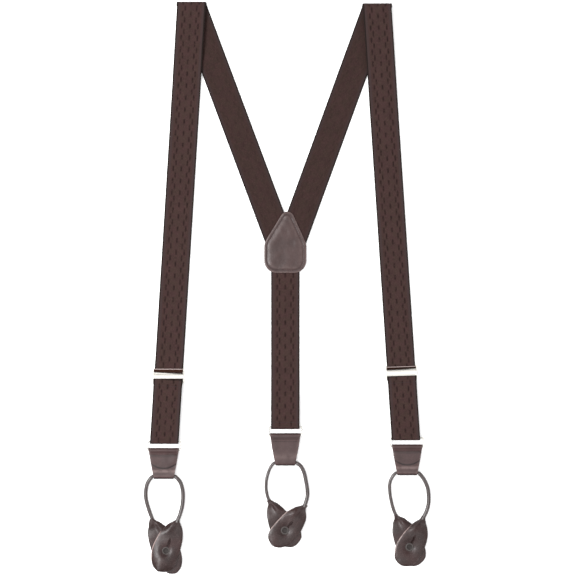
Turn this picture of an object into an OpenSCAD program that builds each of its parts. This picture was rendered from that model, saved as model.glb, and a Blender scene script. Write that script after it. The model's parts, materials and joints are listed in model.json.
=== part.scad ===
// Button-on suspenders lying folded on a table: two webbing shoulder straps meet in a leather
// Y patch, and each of the three lower ends hangs a leather tab and a buttonhole runner
// from a wire ring. Millimetres. X is to the right, Y runs up the straps, Z is up from the table.
// The origin is at the middle of the patch, on the table.

/* [Webbing] */
// Width of the webbing tape
webbing_w = 31.8; // [25:0.1:35]
// Thickness of the webbing tape
webbing_t = 1.3; // [1:0.1:1.5]

/* [Shoulders] */
// Fold point of the left shoulder strap, X and Y
left_fold = [-104.8, 268]; // [-300:0.1:300]
// Fold point of the right shoulder strap, X and Y
right_fold = [102.6, 266.2]; // [-300:0.1:300]
// Lean of the left front strap from the Y axis
left_front_lean = -3.55; // [-6:0.05:0]
// Lean of the right front strap from the Y axis
right_front_lean = 3.8; // [0:0.05:6]
// Lean of the left back strap from the Y axis
left_back_lean = 20.5; // [19:0.1:22]
// Lean of the right back strap from the Y axis
right_back_lean = -20; // [-22:0.1:-19]
// Outer radius of the roll at the shoulder fold
fold_r = 3.6; // [3.5:0.1:4]

/* [Adjusters] */
// Distance down the left front strap from the fold to the adjuster
left_adjuster_drop = 415.3; // [380:0.1:430]
// Distance down the right front strap from the fold to the adjuster
right_adjuster_drop = 409.6; // [380:0.1:430]
// How far an adjuster slides up its strap
adjuster_travel = 100; // [60:1:110]
// Width of the adjuster over its side walls
adjuster_w = 34.8; // [34.4:0.1:36]
// Height of the bright lever plate
lever_h = 6.2; // [5:0.1:6.4]

/* [Rings] */
// Clear width inside a ring
ring_w = 35.2; // [34.8:0.1:37]
// Distance between the centres of a ring's two bars
ring_h = 10; // [9.5:0.1:12]
// Thickness of the ring wire
ring_wire = 1.8; // [1.6:0.1:1.9]
// Centre of the left ring's upper bar, X and Y
left_ring_at = [-135.4, -219.4]; // [-300:0.1:300]
// Centre of the right ring's upper bar, X and Y
right_ring_at = [135.8, -215.4]; // [-300:0.1:300]
// Centre of the back ring's upper bar, X and Y
back_ring_at = [0, -202.9]; // [-300:0.1:300]

/* [Tabs and runners] */
// Width of a tab at the ring
tab_top_w = 34.4; // [33:0.1:35]
// Width of a tab at the cord tunnel
tab_bottom_w = 21.8; // [20:0.1:23]
// Distance from the ring's lower bar to the cord tunnel on the front tabs
front_tab_drop = 28.8; // [27:0.1:32]
// Distance from the ring's lower bar to the cord tunnel on the back tab
back_tab_drop = 30.4; // [27:0.1:32]
// Thickness of the rolled leather cord
cord_d = 3.6; // [3:0.1:3.7]
// Widest half width of a runner ear
ear_half_w = 15.4; // [14:0.1:16]
// Thickness of a runner ear
ear_t = 1.4; // [1:0.1:1.5]
// Width of the stud's cap
stud_w = 10; // [8:0.1:11]

/* [Patch] */
// Thickness of each leather layer of the patch
patch_t = 1.2; // [1:0.1:1.2]

/* [Hidden] */
$fn = 48;

LEFT = 0;
RIGHT = 1;
BACK = 2;

// Colours
webbing_colour = [0.30, 0.23, 0.22];
leather_colour = [0.38, 0.33, 0.32];
ear_colour = [0.33, 0.27, 0.27];
thread_colour = [0.16, 0.11, 0.10];
metal_colour = [0.90, 0.86, 0.74];
stud_colour = [0.28, 0.22, 0.20];

// One value for each side, in the order left, right
fold_at = [left_fold, right_fold];
front_lean = [left_front_lean, right_front_lean];
back_lean = [left_back_lean, right_back_lean];
adjuster_drop = [left_adjuster_drop, right_adjuster_drop];
// The fold line halves the angle between the two straps, so that an opened strap is straight
fold_lean = [for (s = [LEFT, RIGHT]) (front_lean[s] + back_lean[s]) / 2];
fold_skew = [for (s = [LEFT, RIGHT]) (back_lean[s] - front_lean[s]) / 2];

// One value for each lower end, in the order left, right, back
ring_at = [left_ring_at, right_ring_at, back_ring_at];
ring_lean = [-1.8, 1.8, 0];
tab_drop = [front_tab_drop, front_tab_drop, back_tab_drop];
lower_bar = [for (u = [LEFT, RIGHT, BACK])
    ring_at[u] + ring_h * [sin(ring_lean[u]), -cos(ring_lean[u])]];
tunnel_at = [for (u = [LEFT, RIGHT, BACK]) lower_bar[u] - [0, tab_drop[u]]];

// Heights above the table
strap_z = 0.8;
bar_z = 3.6;
loop_in_r = bar_z - strap_z - webbing_t;
loop_out_r = loop_in_r + webbing_t;
return_z = bar_z + loop_in_r;
tunnel_z = 3.3;
tunnel_in_r = 2;
tunnel_out_r = 3.2;
patch_strap_z = patch_t + 0.05;
patch_face_z = patch_strap_z + webbing_t + 0.05;

// Front strap: clear of the fold, then a slope down to the table
fold_gap = 0.3;
slope_start = 8;
slope_end = 128;
slope_steps = 8;
strap_split = 108;
loop_straight = 4;
loop_gap = 0.2;

// Adjuster, about its centre on the strap
frame_t = 0.6;
wall_t = 1;
frame_bottom = -8;
frame_top = 8.2;
guard_from = 4.2;
guard_z = 2.5;
guard_t = 1.2;
wall_top_z = 5.4;
pin_y = 2.4;
pin_z = 4.3;
pin_r = 0.7;
pin_clearance = 0.08;
lever_y = -0.1;
lever_z = 5.6;
lever_t = 1.2;
cam_r = 1.7;
tooth_count = 9;
tooth_pitch = 3.2;
tooth_r = 0.5;
hem_bar_y = -5.6;
hem_bar_z = 4.4;
hem_bar_r = 0.6;
hem_in_r = return_z - hem_bar_z;
hem_out_r = hem_in_r + webbing_t;
hem_tail = 18;
thread_h = 0.25;
thread_w = 0.5;

// Ring
ring_corner_r = 1.8;

// Tab, about the ring's lower bar
tab_leather_t = 1.25;
tab_in_r = 1.6;
tab_out_r = tab_in_r + tab_leather_t;
tab_web_z = 2.1;
tab_web_t = 2.7;
flap_t = 1.25;
flap_edge = 0.5;
flap_from = 3;
flap_side = 15.6;
flap_middle = 21.1;

// Ear, along its own axis from the root
ear_wide_at = 32;
over_tip_r = [27.5, 27.5, 24.5];
under_tip_r = [30.5, 27.5, 24.5];
ear_steps = 40;
ear_root_cut = 2.2;
ear_hole_at = 35;
under_ear_z = 1;
over_ear_z = 2.6;
slit_w = 1.2;
slit_length = 13;
cap_z = 4.1;
cap_t = 1.8;
post_r = 1.6;
post_bottom_z = 0.95;
post_hole_r = 1.7;
boss_r = 2.6;
boss_bore_r = 1.75;
boss_hole_r = 2.8;
base_z = 0.1;
base_t = 0.8;
base_r = 4.5;

// Ear roots and the lean of the upper ear, about the cord tunnel
over_root = [[15, -50.5], [17.2, -51.2], [22, -48.5]];
over_lean = [-21, -25, -40];
under_root = [[-11.2, -51.8], [-12.1, -49], [-18, -43.7]];
stud_at = [for (u = [LEFT, RIGHT, BACK])
    over_root[u] + ear_hole_at * [sin(over_lean[u]), -cos(over_lean[u])]];
under_lean = [for (u = [LEFT, RIGHT, BACK])
    atan2(stud_at[u][0] - under_root[u][0], under_root[u][1] - stud_at[u][1])];
under_hole_at = [for (u = [LEFT, RIGHT, BACK]) norm(stud_at[u] - under_root[u])];

// Cord routes about the tunnel's middle, from the lower ear's root to the upper ear's root
cord_sides = 8;
left_route = [
    [-10.4, -53.6, -1.4], [-14, -45, -1.4], [-17.5, -35, -1.4], [-20, -25, -1.3],
    [-20, -15, -1], [-17.5, -6.5, -0.4], [-12, 0, 0], [-6, 0, 0], [0, 0, 0], [6, 0, 0],
    [12, 0, 0], [18, -6, 0], [21, -15, 0], [21.5, -24, 0], [20.5, -34, 0], [18, -43, 0],
    [14.6, -51.6, 0]
];
right_route = [
    [-11.3, -50.8, -1.4], [-15, -42, -1.4], [-18, -31, -1.4], [-19.5, -21, -1.3],
    [-19.5, -12.5, -1], [-17, -5.5, -0.4], [-12, 0, 0], [-6, 0, 0], [0, 0, 0], [6, 0, 0],
    [12, 0, 0], [18, -6.5, 0], [22.5, -16, 0], [24, -26, 0], [23.5, -36, 0], [21, -44.5, 0],
    [16.7, -52.3, 0]
];
back_route = [
    [-17, -45.4, -1.4], [-20, -37, -1.4], [-21.5, -28, -1.4], [-21, -19, -1.2],
    [-18.5, -9.5, -0.8], [-15.5, -3.5, -0.3], [-12, 0, 0], [-6, 0, 0], [0, 0, 0], [6, 0, 0],
    [12, 0, 0], [17.5, -4, 0], [21, -11, 0], [23, -20, 0], [24.5, -29, 0], [24.5, -38, 0],
    [21.2, -49.4, 0]
];
route = [left_route, right_route, back_route];

// Patch outline: a pear made of five arcs, with its apex a little off the middle
patch_apex = [2.2, 29.4];
patch_apex_r = 7.8;
patch_side = [3.6, -3.3];
patch_side_r = 20;
patch_foot = [9.6, -17.3];
patch_foot_r = 14;
arc_steps = 12;
strap_meet_y = 6;
strap_side_y = -4;

// ---- helpers ----

// Points of an arc about [cx, cy]
function arc(centre, r, from, to) =
    [for (i = [0:arc_steps])
        centre + r * [cos(from + (to - from) * i / arc_steps),
                      sin(from + (to - from) * i / arc_steps)]];

function flip(points) = [for (i = [len(points) - 1:-1:0]) [-points[i][0], points[i][1]]];

// Half of the patch outline, moved inwards by inset. The apex is a distance to its own side,
// and the flank is the straight line that touches both arcs.
function patch_half(apex_x, inset) =
    let (
        apex = [apex_x, patch_apex[1]],
        up = apex - patch_side,
        slope = atan2(up[1], up[0]) - acos((patch_side_r - patch_apex_r) / norm(up)))
    concat(
        arc(patch_foot, patch_foot_r - inset, -90, 0),
        arc(patch_side, patch_side_r - inset, 0, slope),
        arc(apex, patch_apex_r - inset, slope, 90));

function patch_outline(inset) =
    concat(patch_half(patch_apex[0], inset), flip(patch_half(-patch_apex[0], inset)));

// An eased step from 0 to 1
function ease(t) = t * t * (3 - 2 * t);

// A layer of tape as a side view: points [distance, underside height], then back along the top
function tape(under) = concat(
    under,
    [for (i = [len(under) - 1:-1:0]) under[i] + [0, webbing_t]]);

// Underside of a tape that slopes from z0 to z1 between y0 and y1
function slope(y0, y1, z0, z1) =
    [for (i = [0:slope_steps])
        [y0 + (y1 - y0) * i / slope_steps, z0 + (z1 - z0) * ease(i / slope_steps)]];

// Extrudes a side view, drawn as [Y, Z], across X
module across(w) {
    rotate([90, 0, 90]) linear_extrude(height = w, center = true) children();
}

// A bar along X
module bar(r, w, y = 0, z = 0) {
    translate([0, y, z]) rotate([0, 90, 0]) cylinder(r = r, h = w, center = true);
}

// Half of a tape roll round a bar, on the +Y side or the -Y side
module half_roll(r_in, r_out, w, side) {
    across(w) intersection() {
        difference() {
            circle(r = r_out);
            circle(r = r_in);
        }
        translate([side * r_out, 0]) square(2 * r_out, center = true);
    }
}

// A box from its low corner to its high corner
module block(low, high) {
    translate(low) cube(high - low);
}

module on_front(s) {
    translate([fold_at[s][0], fold_at[s][1], 0]) rotate(front_lean[s]) children();
}

module on_back(s) {
    translate([fold_at[s][0], fold_at[s][1], 0]) rotate(back_lean[s]) children();
}

module on_fold(s) {
    translate([fold_at[s][0], fold_at[s][1], 0]) rotate(fold_lean[s]) children();
}

module on_adjuster(s) {
    on_front(s) translate([0, -adjuster_drop[s], 0]) children();
}

module on_ring(u) {
    translate([ring_at[u][0], ring_at[u][1], bar_z]) rotate(ring_lean[u]) children();
}

module on_tab(u) {
    translate([lower_bar[u][0], lower_bar[u][1], 0]) children();
}

module on_tunnel(u) {
    translate([tunnel_at[u][0], tunnel_at[u][1], 0]) children();
}

module on_ear(root, lean) {
    translate([root[0], root[1], 0]) rotate(lean) children();
}

// Distance down the front strap to the ring's upper bar
function ring_drop(s) = (fold_at[s][1] - ring_at[s][1]) / cos(front_lean[s]);

// ---- straps ----

module back_strap(s) {
    end = fold_at[s][1] / cos(back_lean[s]) + webbing_w;
    side = s == LEFT ? 1 : -1;
    color(webbing_colour) difference() {
        on_back(s) across(webbing_w) polygon(tape(concat(
            [[webbing_w, 0]],
            slope(-225, -250, 0, patch_strap_z),
            [[-end, patch_strap_z]])));
        // cut along the fold line
        on_fold(s) block([-2 * webbing_w, 0, -1], [2 * webbing_w, 3 * webbing_w, 9]);
        // cut at the middle of the patch, at the centre strap and below it
        block([side > 0 ? -0.1 : -200, -200, -1], [side > 0 ? 200 : 0.1, 100, 9]);
        block([-webbing_w / 2 - 0.3, -200, -1], [webbing_w / 2 + 0.3, strap_meet_y, 9]);
        block([-200, -200, -1], [200, strap_side_y, 9]);
    }
}

module shoulder_fold(s) {
    color(webbing_colour) on_fold(s) translate([0, 0, fold_r])
        half_roll(fold_r - webbing_t, fold_r, webbing_w / cos(fold_skew[s]), 1);
}

module front_strap(s) {
    top_z = 2 * fold_r - webbing_t;
    end = adjuster_drop[s] - strap_split;
    color(webbing_colour) difference() {
        on_front(s) across(webbing_w) polygon(tape(concat(
            [[webbing_w, top_z]],
            slope(-slope_start, -slope_end, top_z, strap_z),
            [[-end, strap_z]])));
        on_fold(s) block([-2 * webbing_w, -fold_gap, -1], [2 * webbing_w, 3 * webbing_w, 9]);
    }
}

module lower_strap(s) {
    from = adjuster_drop[s] - strap_split;
    to = ring_drop(s) - loop_straight - loop_gap;
    color(webbing_colour) on_front(s)
        block([-webbing_w / 2, -to, strap_z], [webbing_w / 2, -from, strap_z + webbing_t]);
}

module strap_loop(s) {
    color(webbing_colour) on_front(s) translate([0, -ring_drop(s), 0]) union() {
        translate([0, 0, bar_z]) half_roll(loop_in_r, loop_out_r, webbing_w, -1);
        for (z = [strap_z, return_z])
            block([-webbing_w / 2, 0, z], [webbing_w / 2, loop_straight, z + webbing_t]);
    }
}

module return_strap(s) {
    to = ring_drop(s) - loop_straight - loop_gap - adjuster_drop[s];
    color(webbing_colour) on_adjuster(s)
        block([-webbing_w / 2, -to, return_z], [webbing_w / 2, hem_bar_y, return_z + webbing_t]);
}

module strap_hem(s) {
    tail_z = hem_bar_z - hem_out_r;
    color(webbing_colour) on_adjuster(s) union() {
        translate([0, hem_bar_y, hem_bar_z]) half_roll(hem_in_r, hem_out_r, webbing_w, 1);
        block([-webbing_w / 2, hem_bar_y - hem_tail, tail_z],
              [webbing_w / 2, hem_bar_y, tail_z + webbing_t]);
    }
}

// A row of thread across the strap or tab
module thread_row(w, y, z) {
    block([-w / 2, y - thread_w / 2, z], [w / 2, y + thread_w / 2, z + thread_h]);
}

module hem_stitching(s) {
    color(thread_colour) on_adjuster(s)
        thread_row(webbing_w - 3, hem_bar_y - 7, return_z + webbing_t);
}

module centre_strap() {
    hem_y = back_ring_at[1] + 14;
    color(webbing_colour) across(webbing_w) polygon(tape(concat(
        [[strap_meet_y - 0.3, patch_strap_z]],
        slope(-42, -54, patch_strap_z, 0),
        slope(hem_y + 50, hem_y, 0, return_z))));
}

module back_strap_hem() {
    color(webbing_colour) translate([back_ring_at[0], back_ring_at[1], 0]) union() {
        translate([0, 0, bar_z]) half_roll(loop_in_r, loop_out_r, webbing_w, -1);
        for (z = [strap_z, return_z])
            block([-webbing_w / 2, 0, z], [webbing_w / 2, 14 - loop_gap, z + webbing_t]);
    }
}

module back_hem_stitching() {
    color(thread_colour) translate([back_ring_at[0], back_ring_at[1], 0])
        thread_row(webbing_w - 3, 7, return_z + webbing_t);
}

// ---- patch ----

module patch_layer(inset, z, t) {
    translate([0, 0, z]) linear_extrude(height = t) polygon(patch_outline(inset));
}

module patch_backing() {
    color(leather_colour) patch_layer(0, 0, patch_t);
}

module patch_face() {
    color(leather_colour) union() {
        patch_layer(0, patch_face_z, patch_t);
        patch_layer(4.6, patch_face_z + patch_t, 0.5);
        patch_layer(6, patch_face_z + patch_t + 0.5, 0.4);
    }
}

module patch_stitching() {
    color(thread_colour) difference() {
        patch_layer(2.6, patch_face_z + patch_t, thread_h);
        patch_layer(3.1, patch_face_z, patch_t + 2 * thread_h);
    }
}

// ---- adjusters ----

module adjuster_frame(s) {
    wall_x = adjuster_w / 2 - wall_t / 2;
    color(metal_colour) on_adjuster(s) difference() {
        union() {
            block([-adjuster_w / 2, frame_bottom, 0.1], [adjuster_w / 2, frame_top, 0.1 + frame_t]);
            block([-adjuster_w / 2, guard_from, guard_z],
                  [adjuster_w / 2, frame_top, guard_z + guard_t]);
            for (side = [-1, 1]) translate([side * wall_x, 0, 0]) {
                across(wall_t) polygon([
                    [frame_bottom, 0.1], [frame_top, 0.1], [frame_top, guard_z + guard_t],
                    [pin_y, guard_z + guard_t], [pin_y, wall_top_z], [frame_bottom, wall_top_z]]);
                bar(pin_r + 0.5, wall_t, pin_y, pin_z);
            }
            bar(hem_bar_r, adjuster_w - wall_t, hem_bar_y, hem_bar_z);
        }
        bar(pin_r, adjuster_w + 1, pin_y, pin_z);
    }
}

module hinge_pin(s) {
    color(metal_colour) on_adjuster(s) bar(pin_r, adjuster_w, pin_y, pin_z);
}

module lever(s) {
    cam_w = adjuster_w - 2 * wall_t - 0.6;
    color(metal_colour) on_adjuster(s) difference() {
        union() {
            block([-adjuster_w / 2, lever_y - lever_h / 2, lever_z],
                  [adjuster_w / 2, lever_y + lever_h / 2, lever_z + lever_t]);
            bar(cam_r, cam_w, pin_y, pin_z);
            block([-cam_w / 2, pin_y - 1, pin_z], [cam_w / 2, pin_y, lever_z + 0.1]);
            for (i = [0:tooth_count - 1])
                translate([(i - (tooth_count - 1) / 2) * tooth_pitch, pin_y, pin_z - cam_r])
                    cylinder(r = tooth_r, h = 0.7, center = true);
        }
        bar(pin_r + pin_clearance, adjuster_w + 1, pin_y, pin_z);
    }
}

// ---- rings ----

module ring(u) {
    x = ring_w / 2 + ring_wire / 2;
    corner_x = x - ring_corner_r;
    color(metal_colour) on_ring(u) union() {
        for (y = [0, -ring_h]) bar(ring_wire / 2, 2 * corner_x, y);
        for (side = [-1, 1]) {
            translate([side * x, -ring_h / 2, 0]) rotate([90, 0, 0])
                cylinder(r = ring_wire / 2, h = ring_h - 2 * ring_corner_r, center = true);
            for (end = [0, 1])
                translate([side * corner_x, -ring_corner_r - end * (ring_h - 2 * ring_corner_r), 0])
                    rotate(side > 0 ? -90 * end : 90 + 90 * end)
                    rotate_extrude(angle = 90) translate([ring_corner_r, 0])
                    circle(r = ring_wire / 2);
        }
    }
}

// ---- tabs ----

module tab_outline(u, inset = 0) {
    top = tab_out_r + 0.2;
    bottom = -tab_drop[u] - tunnel_out_r;
    half_top = tab_top_w / 2 - inset;
    half_bottom = tab_bottom_w / 2 - inset;
    polygon([
        [-half_top, top], [-half_top + 0.6, -5], [-half_top + 3.3, -17], [-half_bottom, bottom],
        [half_bottom, bottom], [half_top - 3.3, -17], [half_top - 0.6, -5], [half_top, top]]);
}

module tab(u) {
    web_z = u == BACK ? tab_web_z - 0.3 : tab_web_z;
    web_t = u == BACK ? tab_web_t + 0.8 : tab_web_t;
    color(leather_colour) on_tab(u) difference() {
        intersection() {
            union() {
                bar(tab_out_r, tab_top_w, 0, bar_z);
                bar(tunnel_out_r, tab_top_w, -tab_drop[u], tunnel_z);
                block([-tab_top_w / 2, -tab_drop[u], web_z], [tab_top_w / 2, 0, web_z + web_t]);
            }
            linear_extrude(height = 9) tab_outline(u);
        }
        bar(tab_in_r, tab_top_w + 1, 0, bar_z);
        bar(tunnel_in_r, tab_top_w + 1, -tab_drop[u], tunnel_z);
    }
}

module tab_flap(u) {
    color(leather_colour) on_tab(u) translate([0, 0, tab_web_z + tab_web_t])
        linear_extrude(height = flap_t) intersection() {
            tab_outline(u, flap_edge);
            polygon(concat(
                [[tab_top_w / 2, -flap_from], [-tab_top_w / 2, -flap_from]],
                [for (i = [0:arc_steps])
                    let (t = 2 * i / arc_steps - 1)
                    [t * tab_top_w / 2,
                     -flap_middle + (flap_middle - flap_side) * t * t]]));
        }
}

module tab_stitching(u) {
    color(thread_colour) on_tab(u) {
        if (u == BACK) {
            for (y = [-4, -7.5]) thread_row(tab_top_w - 4, y, tab_web_z + tab_web_t + 0.5);
        } else {
            thread_row(tab_top_w - 4, -flap_from - 1.2, tab_web_z + tab_web_t + flap_t);
        }
    }
}

// ---- runners ----

// A tube with flat sides swept along the points of a route
module swept_tube(points, r) {
    count = len(points);
    ahead = [for (i = [0:count - 1])
        points[min(i + 1, count - 1)] - points[max(i - 1, 0)]];
    side = [for (d = ahead) cross([0, 0, 1], d) / norm(cross([0, 0, 1], d))];
    up = [for (i = [0:count - 1]) cross(ahead[i], side[i]) / norm(ahead[i])];
    rings = [for (i = [0:count - 1]) for (k = [0:cord_sides - 1])
        let (a = 360 * (k + 0.5) / cord_sides)
        points[i] + r * (cos(a) * side[i] + sin(a) * up[i])];
    walls = [for (i = [0:count - 2]) for (k = [0:cord_sides - 1])
        let (a = i * cord_sides + k, b = i * cord_sides + (k + 1) % cord_sides)
        [a, b, b + cord_sides, a + cord_sides]];
    first = [for (k = [cord_sides - 1:-1:0]) k];
    last = [for (k = [0:cord_sides - 1]) (count - 1) * cord_sides + k];
    polyhedron(rings, concat([first], walls, [last]));
}

module cord(u) {
    color(ear_colour) on_tunnel(u) translate([0, 0, tunnel_z]) swept_tube(route[u], cord_d / 2);
}

// Ear outline: half ellipses above and below the widest line, cut off square at the root
module ear_outline(tip_r) {
    difference() {
        polygon([for (i = [0:ear_steps - 1])
            let (a = 360 * i / ear_steps, reach = cos(a) > 0 ? ear_wide_at : tip_r)
            [ear_half_w * sin(a), -ear_wide_at + reach * cos(a)]]);
        translate([-ear_half_w, -ear_root_cut]) square([2 * ear_half_w, ear_wide_at]);
    }
}

module ear_solid(tip_r, hole_at, hole_r, z) {
    translate([0, 0, z]) difference() {
        linear_extrude(height = ear_t) ear_outline(tip_r);
        translate([0, -hole_at, -1]) cylinder(r = hole_r, h = ear_t + 2);
        block([-slit_w / 2, -hole_at, -1], [slit_w / 2, -hole_at + slit_length, ear_t + 2]);
    }
}

module under_ear(u) {
    color(ear_colour) on_tunnel(u) on_ear(under_root[u], under_lean[u])
        ear_solid(under_tip_r[u], under_hole_at[u], boss_hole_r, under_ear_z);
}

module over_ear(u) {
    color(ear_colour) on_tunnel(u) on_ear(over_root[u], over_lean[u])
        ear_solid(over_tip_r[u], ear_hole_at, post_hole_r, over_ear_z);
}

module stud_base(u) {
    color(stud_colour) on_tunnel(u) translate([stud_at[u][0], stud_at[u][1], base_z])
        difference() {
            union() {
                cylinder(r = base_r, h = base_t);
                cylinder(r = boss_r, h = under_ear_z + ear_t - base_z);
            }
            translate([0, 0, base_t - 0.1]) cylinder(r = boss_bore_r, h = 4);
        }
}

module stud_cap(u) {
    color(stud_colour) on_tunnel(u) translate([stud_at[u][0], stud_at[u][1], 0])
        rotate_extrude() polygon([
            [0, post_bottom_z], [post_r, post_bottom_z], [post_r, cap_z], [stud_w / 2, cap_z],
            [stud_w / 2, cap_z + 0.9 * cap_t], [stud_w / 2 - 0.5, cap_z + cap_t],
            [stud_w / 2 - 1.3, cap_z + cap_t], [stud_w / 2 - 2, cap_z + 0.6 * cap_t],
            [0, cap_z + 0.6 * cap_t]]);
}

// ---- nodes ----

back_strap(LEFT);  // left_back_strap
back_strap(RIGHT);  // right_back_strap
shoulder_fold(LEFT);  // left_shoulder_fold
shoulder_fold(RIGHT);  // right_shoulder_fold
patch_backing();
patch_face();
patch_stitching();
centre_strap();

front_strap(LEFT);  // left_front_strap
lower_strap(LEFT);  // left_lower_strap
adjuster_frame(LEFT);  // left_adjuster_frame
hinge_pin(LEFT);  // left_hinge_pin
lever(LEFT);  // left_lever
return_strap(LEFT);  // left_return_strap
strap_hem(LEFT);  // left_strap_hem
hem_stitching(LEFT);  // left_hem_stitching
strap_loop(LEFT);  // left_strap_loop
ring(LEFT);  // left_ring
tab(LEFT);  // left_tab
tab_flap(LEFT);  // left_tab_flap
tab_stitching(LEFT);  // left_tab_stitching
cord(LEFT);  // left_cord
under_ear(LEFT);  // left_under_ear
stud_base(LEFT);  // left_stud_base
over_ear(LEFT);  // left_over_ear
stud_cap(LEFT);  // left_stud_cap

front_strap(RIGHT);  // right_front_strap
lower_strap(RIGHT);  // right_lower_strap
adjuster_frame(RIGHT);  // right_adjuster_frame
hinge_pin(RIGHT);  // right_hinge_pin
lever(RIGHT);  // right_lever
return_strap(RIGHT);  // right_return_strap
strap_hem(RIGHT);  // right_strap_hem
hem_stitching(RIGHT);  // right_hem_stitching
strap_loop(RIGHT);  // right_strap_loop
ring(RIGHT);  // right_ring
tab(RIGHT);  // right_tab
tab_flap(RIGHT);  // right_tab_flap
tab_stitching(RIGHT);  // right_tab_stitching
cord(RIGHT);  // right_cord
under_ear(RIGHT);  // right_under_ear
stud_base(RIGHT);  // right_stud_base
over_ear(RIGHT);  // right_over_ear
stud_cap(RIGHT);  // right_stud_cap

back_strap_hem();
back_hem_stitching();
ring(BACK);  // back_ring
tab(BACK);  // back_tab
tab_stitching(BACK);  // back_tab_stitching
cord(BACK);  // back_cord
under_ear(BACK);  // back_under_ear
stud_base(BACK);  // back_stud_base
over_ear(BACK);  // back_over_ear
stud_cap(BACK);  // back_stud_cap
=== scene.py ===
"""Looks for a pair of button-on suspenders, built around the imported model.

Lengths are in millimetres and angles in degrees until a mesh is made, which is in metres.
A place is a flat local frame on the table, as a matrix, with +Y up the strap. A track is a
strap's side view in such a frame: a list of (y, z) points along the middle of its thickness.
"""

import json
import math

import bmesh
import bpy
from mathutils import Matrix, Vector


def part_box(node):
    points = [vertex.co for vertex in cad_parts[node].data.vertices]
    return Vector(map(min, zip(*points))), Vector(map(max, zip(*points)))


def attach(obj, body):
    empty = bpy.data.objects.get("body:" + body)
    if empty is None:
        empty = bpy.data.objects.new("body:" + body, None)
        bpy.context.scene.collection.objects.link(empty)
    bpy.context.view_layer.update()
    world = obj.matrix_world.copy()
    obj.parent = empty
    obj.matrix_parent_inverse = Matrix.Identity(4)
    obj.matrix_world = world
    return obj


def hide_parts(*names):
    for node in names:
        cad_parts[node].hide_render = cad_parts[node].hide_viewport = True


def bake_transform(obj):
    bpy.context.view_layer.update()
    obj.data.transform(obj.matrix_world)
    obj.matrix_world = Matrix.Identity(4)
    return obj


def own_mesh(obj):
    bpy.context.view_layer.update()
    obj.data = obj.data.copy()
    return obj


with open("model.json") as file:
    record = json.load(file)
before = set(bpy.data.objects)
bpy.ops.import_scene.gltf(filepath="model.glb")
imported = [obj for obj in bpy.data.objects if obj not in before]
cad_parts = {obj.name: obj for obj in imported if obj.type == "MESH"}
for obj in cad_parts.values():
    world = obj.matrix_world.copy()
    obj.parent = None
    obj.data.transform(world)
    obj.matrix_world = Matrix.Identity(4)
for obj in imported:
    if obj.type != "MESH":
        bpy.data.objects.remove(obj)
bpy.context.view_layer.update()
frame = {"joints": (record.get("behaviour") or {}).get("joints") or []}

MM = 0.001
SIDES = ("left", "right")
ENDS = ("left", "right", "back")

# Straps
WEBBING_T = 1.3
STRAP_Z = 0.8  # underside of a strap that lies over an adjuster or in a ring
SLOPE_START, SLOPE_END = 8.0, 128.0  # where a front strap comes down from its fold
FOLD_SWING = 26.0  # how far from the fold the rows of the weave swing level
HEM_TAIL = 18.0
SEAM_LIFT = 0.05  # of a seam's thread above what it is sewn to

# Adjusters, about the adjuster's middle
ADJUSTER_TURN = {"left": 3.5, "right": -1.9}
ADJUSTER_HALF_W = 17.4
WALL_T = 1.0
PIN_Y, PIN_Z = 2.4, 4.3
HEM_BAR_Y, HEM_BAR_Z = -5.6, 4.4
LEVER_EDGES = {"left": (-3.0, 2.2), "right": (-3.8, 3.0)}
# How far up the strap each frame's walls and lip reach; the block of painted shade stops under the
# lip.
FRAME_TOP = {"left": 8.2, "right": 6.9}

# Rings and tabs
WIRE_R = 0.9
TAB_TOP_HALF, TAB_BOTTOM_HALF = 17.2, 10.9
TAB_T = 1.3
TAB_LOOP_R = 2.15  # round the ring's lower bar
TUNNEL_MID_R = 2.6  # round the cord

# Runners
CORD_R = 1.8
TUNNEL_CORD_R = 1.5
EAR_T = 1.4
EAR_HINGE_AT = 1.7
EAR_HOLE_AT = 35.0
UNDER_EAR_Z, OVER_EAR_Z = 1.0, 2.6
SLIT_LENGTH = 12

PATCH_T = 1.2
PATCH_BACK_Y = 225  # how far down a back strap it starts to rise onto the patch's backing
ON_BACKING_Z = PATCH_T + 0.05


# ---------------------------------------------------------------- places


def joint(name):
    """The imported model's entry for a joint."""
    return next(j for j in frame["joints"] if j["name"] == name)


def joint_point(name):
    """Where a joint turns."""
    return Vector(joint(name)["pos_m"]) / MM


def lean_of(axis):
    """Angle of a flat direction from +X, in degrees."""
    return math.degrees(math.atan2(axis[1], axis[0]))


def place(origin, lean):
    """A flat local frame on the table: origin's X and Y, turned by lean about Z."""
    at = Vector((origin[0], origin[1], 0))
    return Matrix.Translation(at) @ Matrix.Rotation(math.radians(lean), 4, "Z")


def box_mm(node):
    """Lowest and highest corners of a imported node."""
    low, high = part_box(node)
    return Vector(low) / MM, Vector(high) / MM


def down(lean):
    """Unit vector that points down a strap with this lean."""
    a = math.radians(lean)
    return Vector((math.sin(a), -math.cos(a), 0))


class Side:
    """Where one shoulder strap, its fold and its adjuster are."""

    def __init__(self, name):
        self.name = name
        self.sign = -1 if name == "left" else 1
        self.fold = joint_point(name + "_shoulder_fold_hinge")
        axis = joint(name + "_shoulder_fold_hinge")["axis"]
        fold_lean = lean_of((-axis[0], -axis[1]))
        up = joint(name + "_adjuster_slide")["axis"]
        self.front_lean = lean_of(up) - 90
        self.back_lean = 2 * fold_lean - self.front_lean
        self.fold_r = self.fold.z
        self.on_front = place(self.fold, self.front_lean)
        pin = self.on_front.inverted() @ joint_point(name + "_lever_hinge")
        self.adjuster_drop = PIN_Y - pin.y
        ring = joint_point(name + "_ring_hinge")
        self.ring_drop = (self.fold.y - ring.y) / math.cos(math.radians(self.front_lean))
        self.on_adjuster = self.on_front @ Matrix.Translation((0, -self.adjuster_drop, 0))


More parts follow.
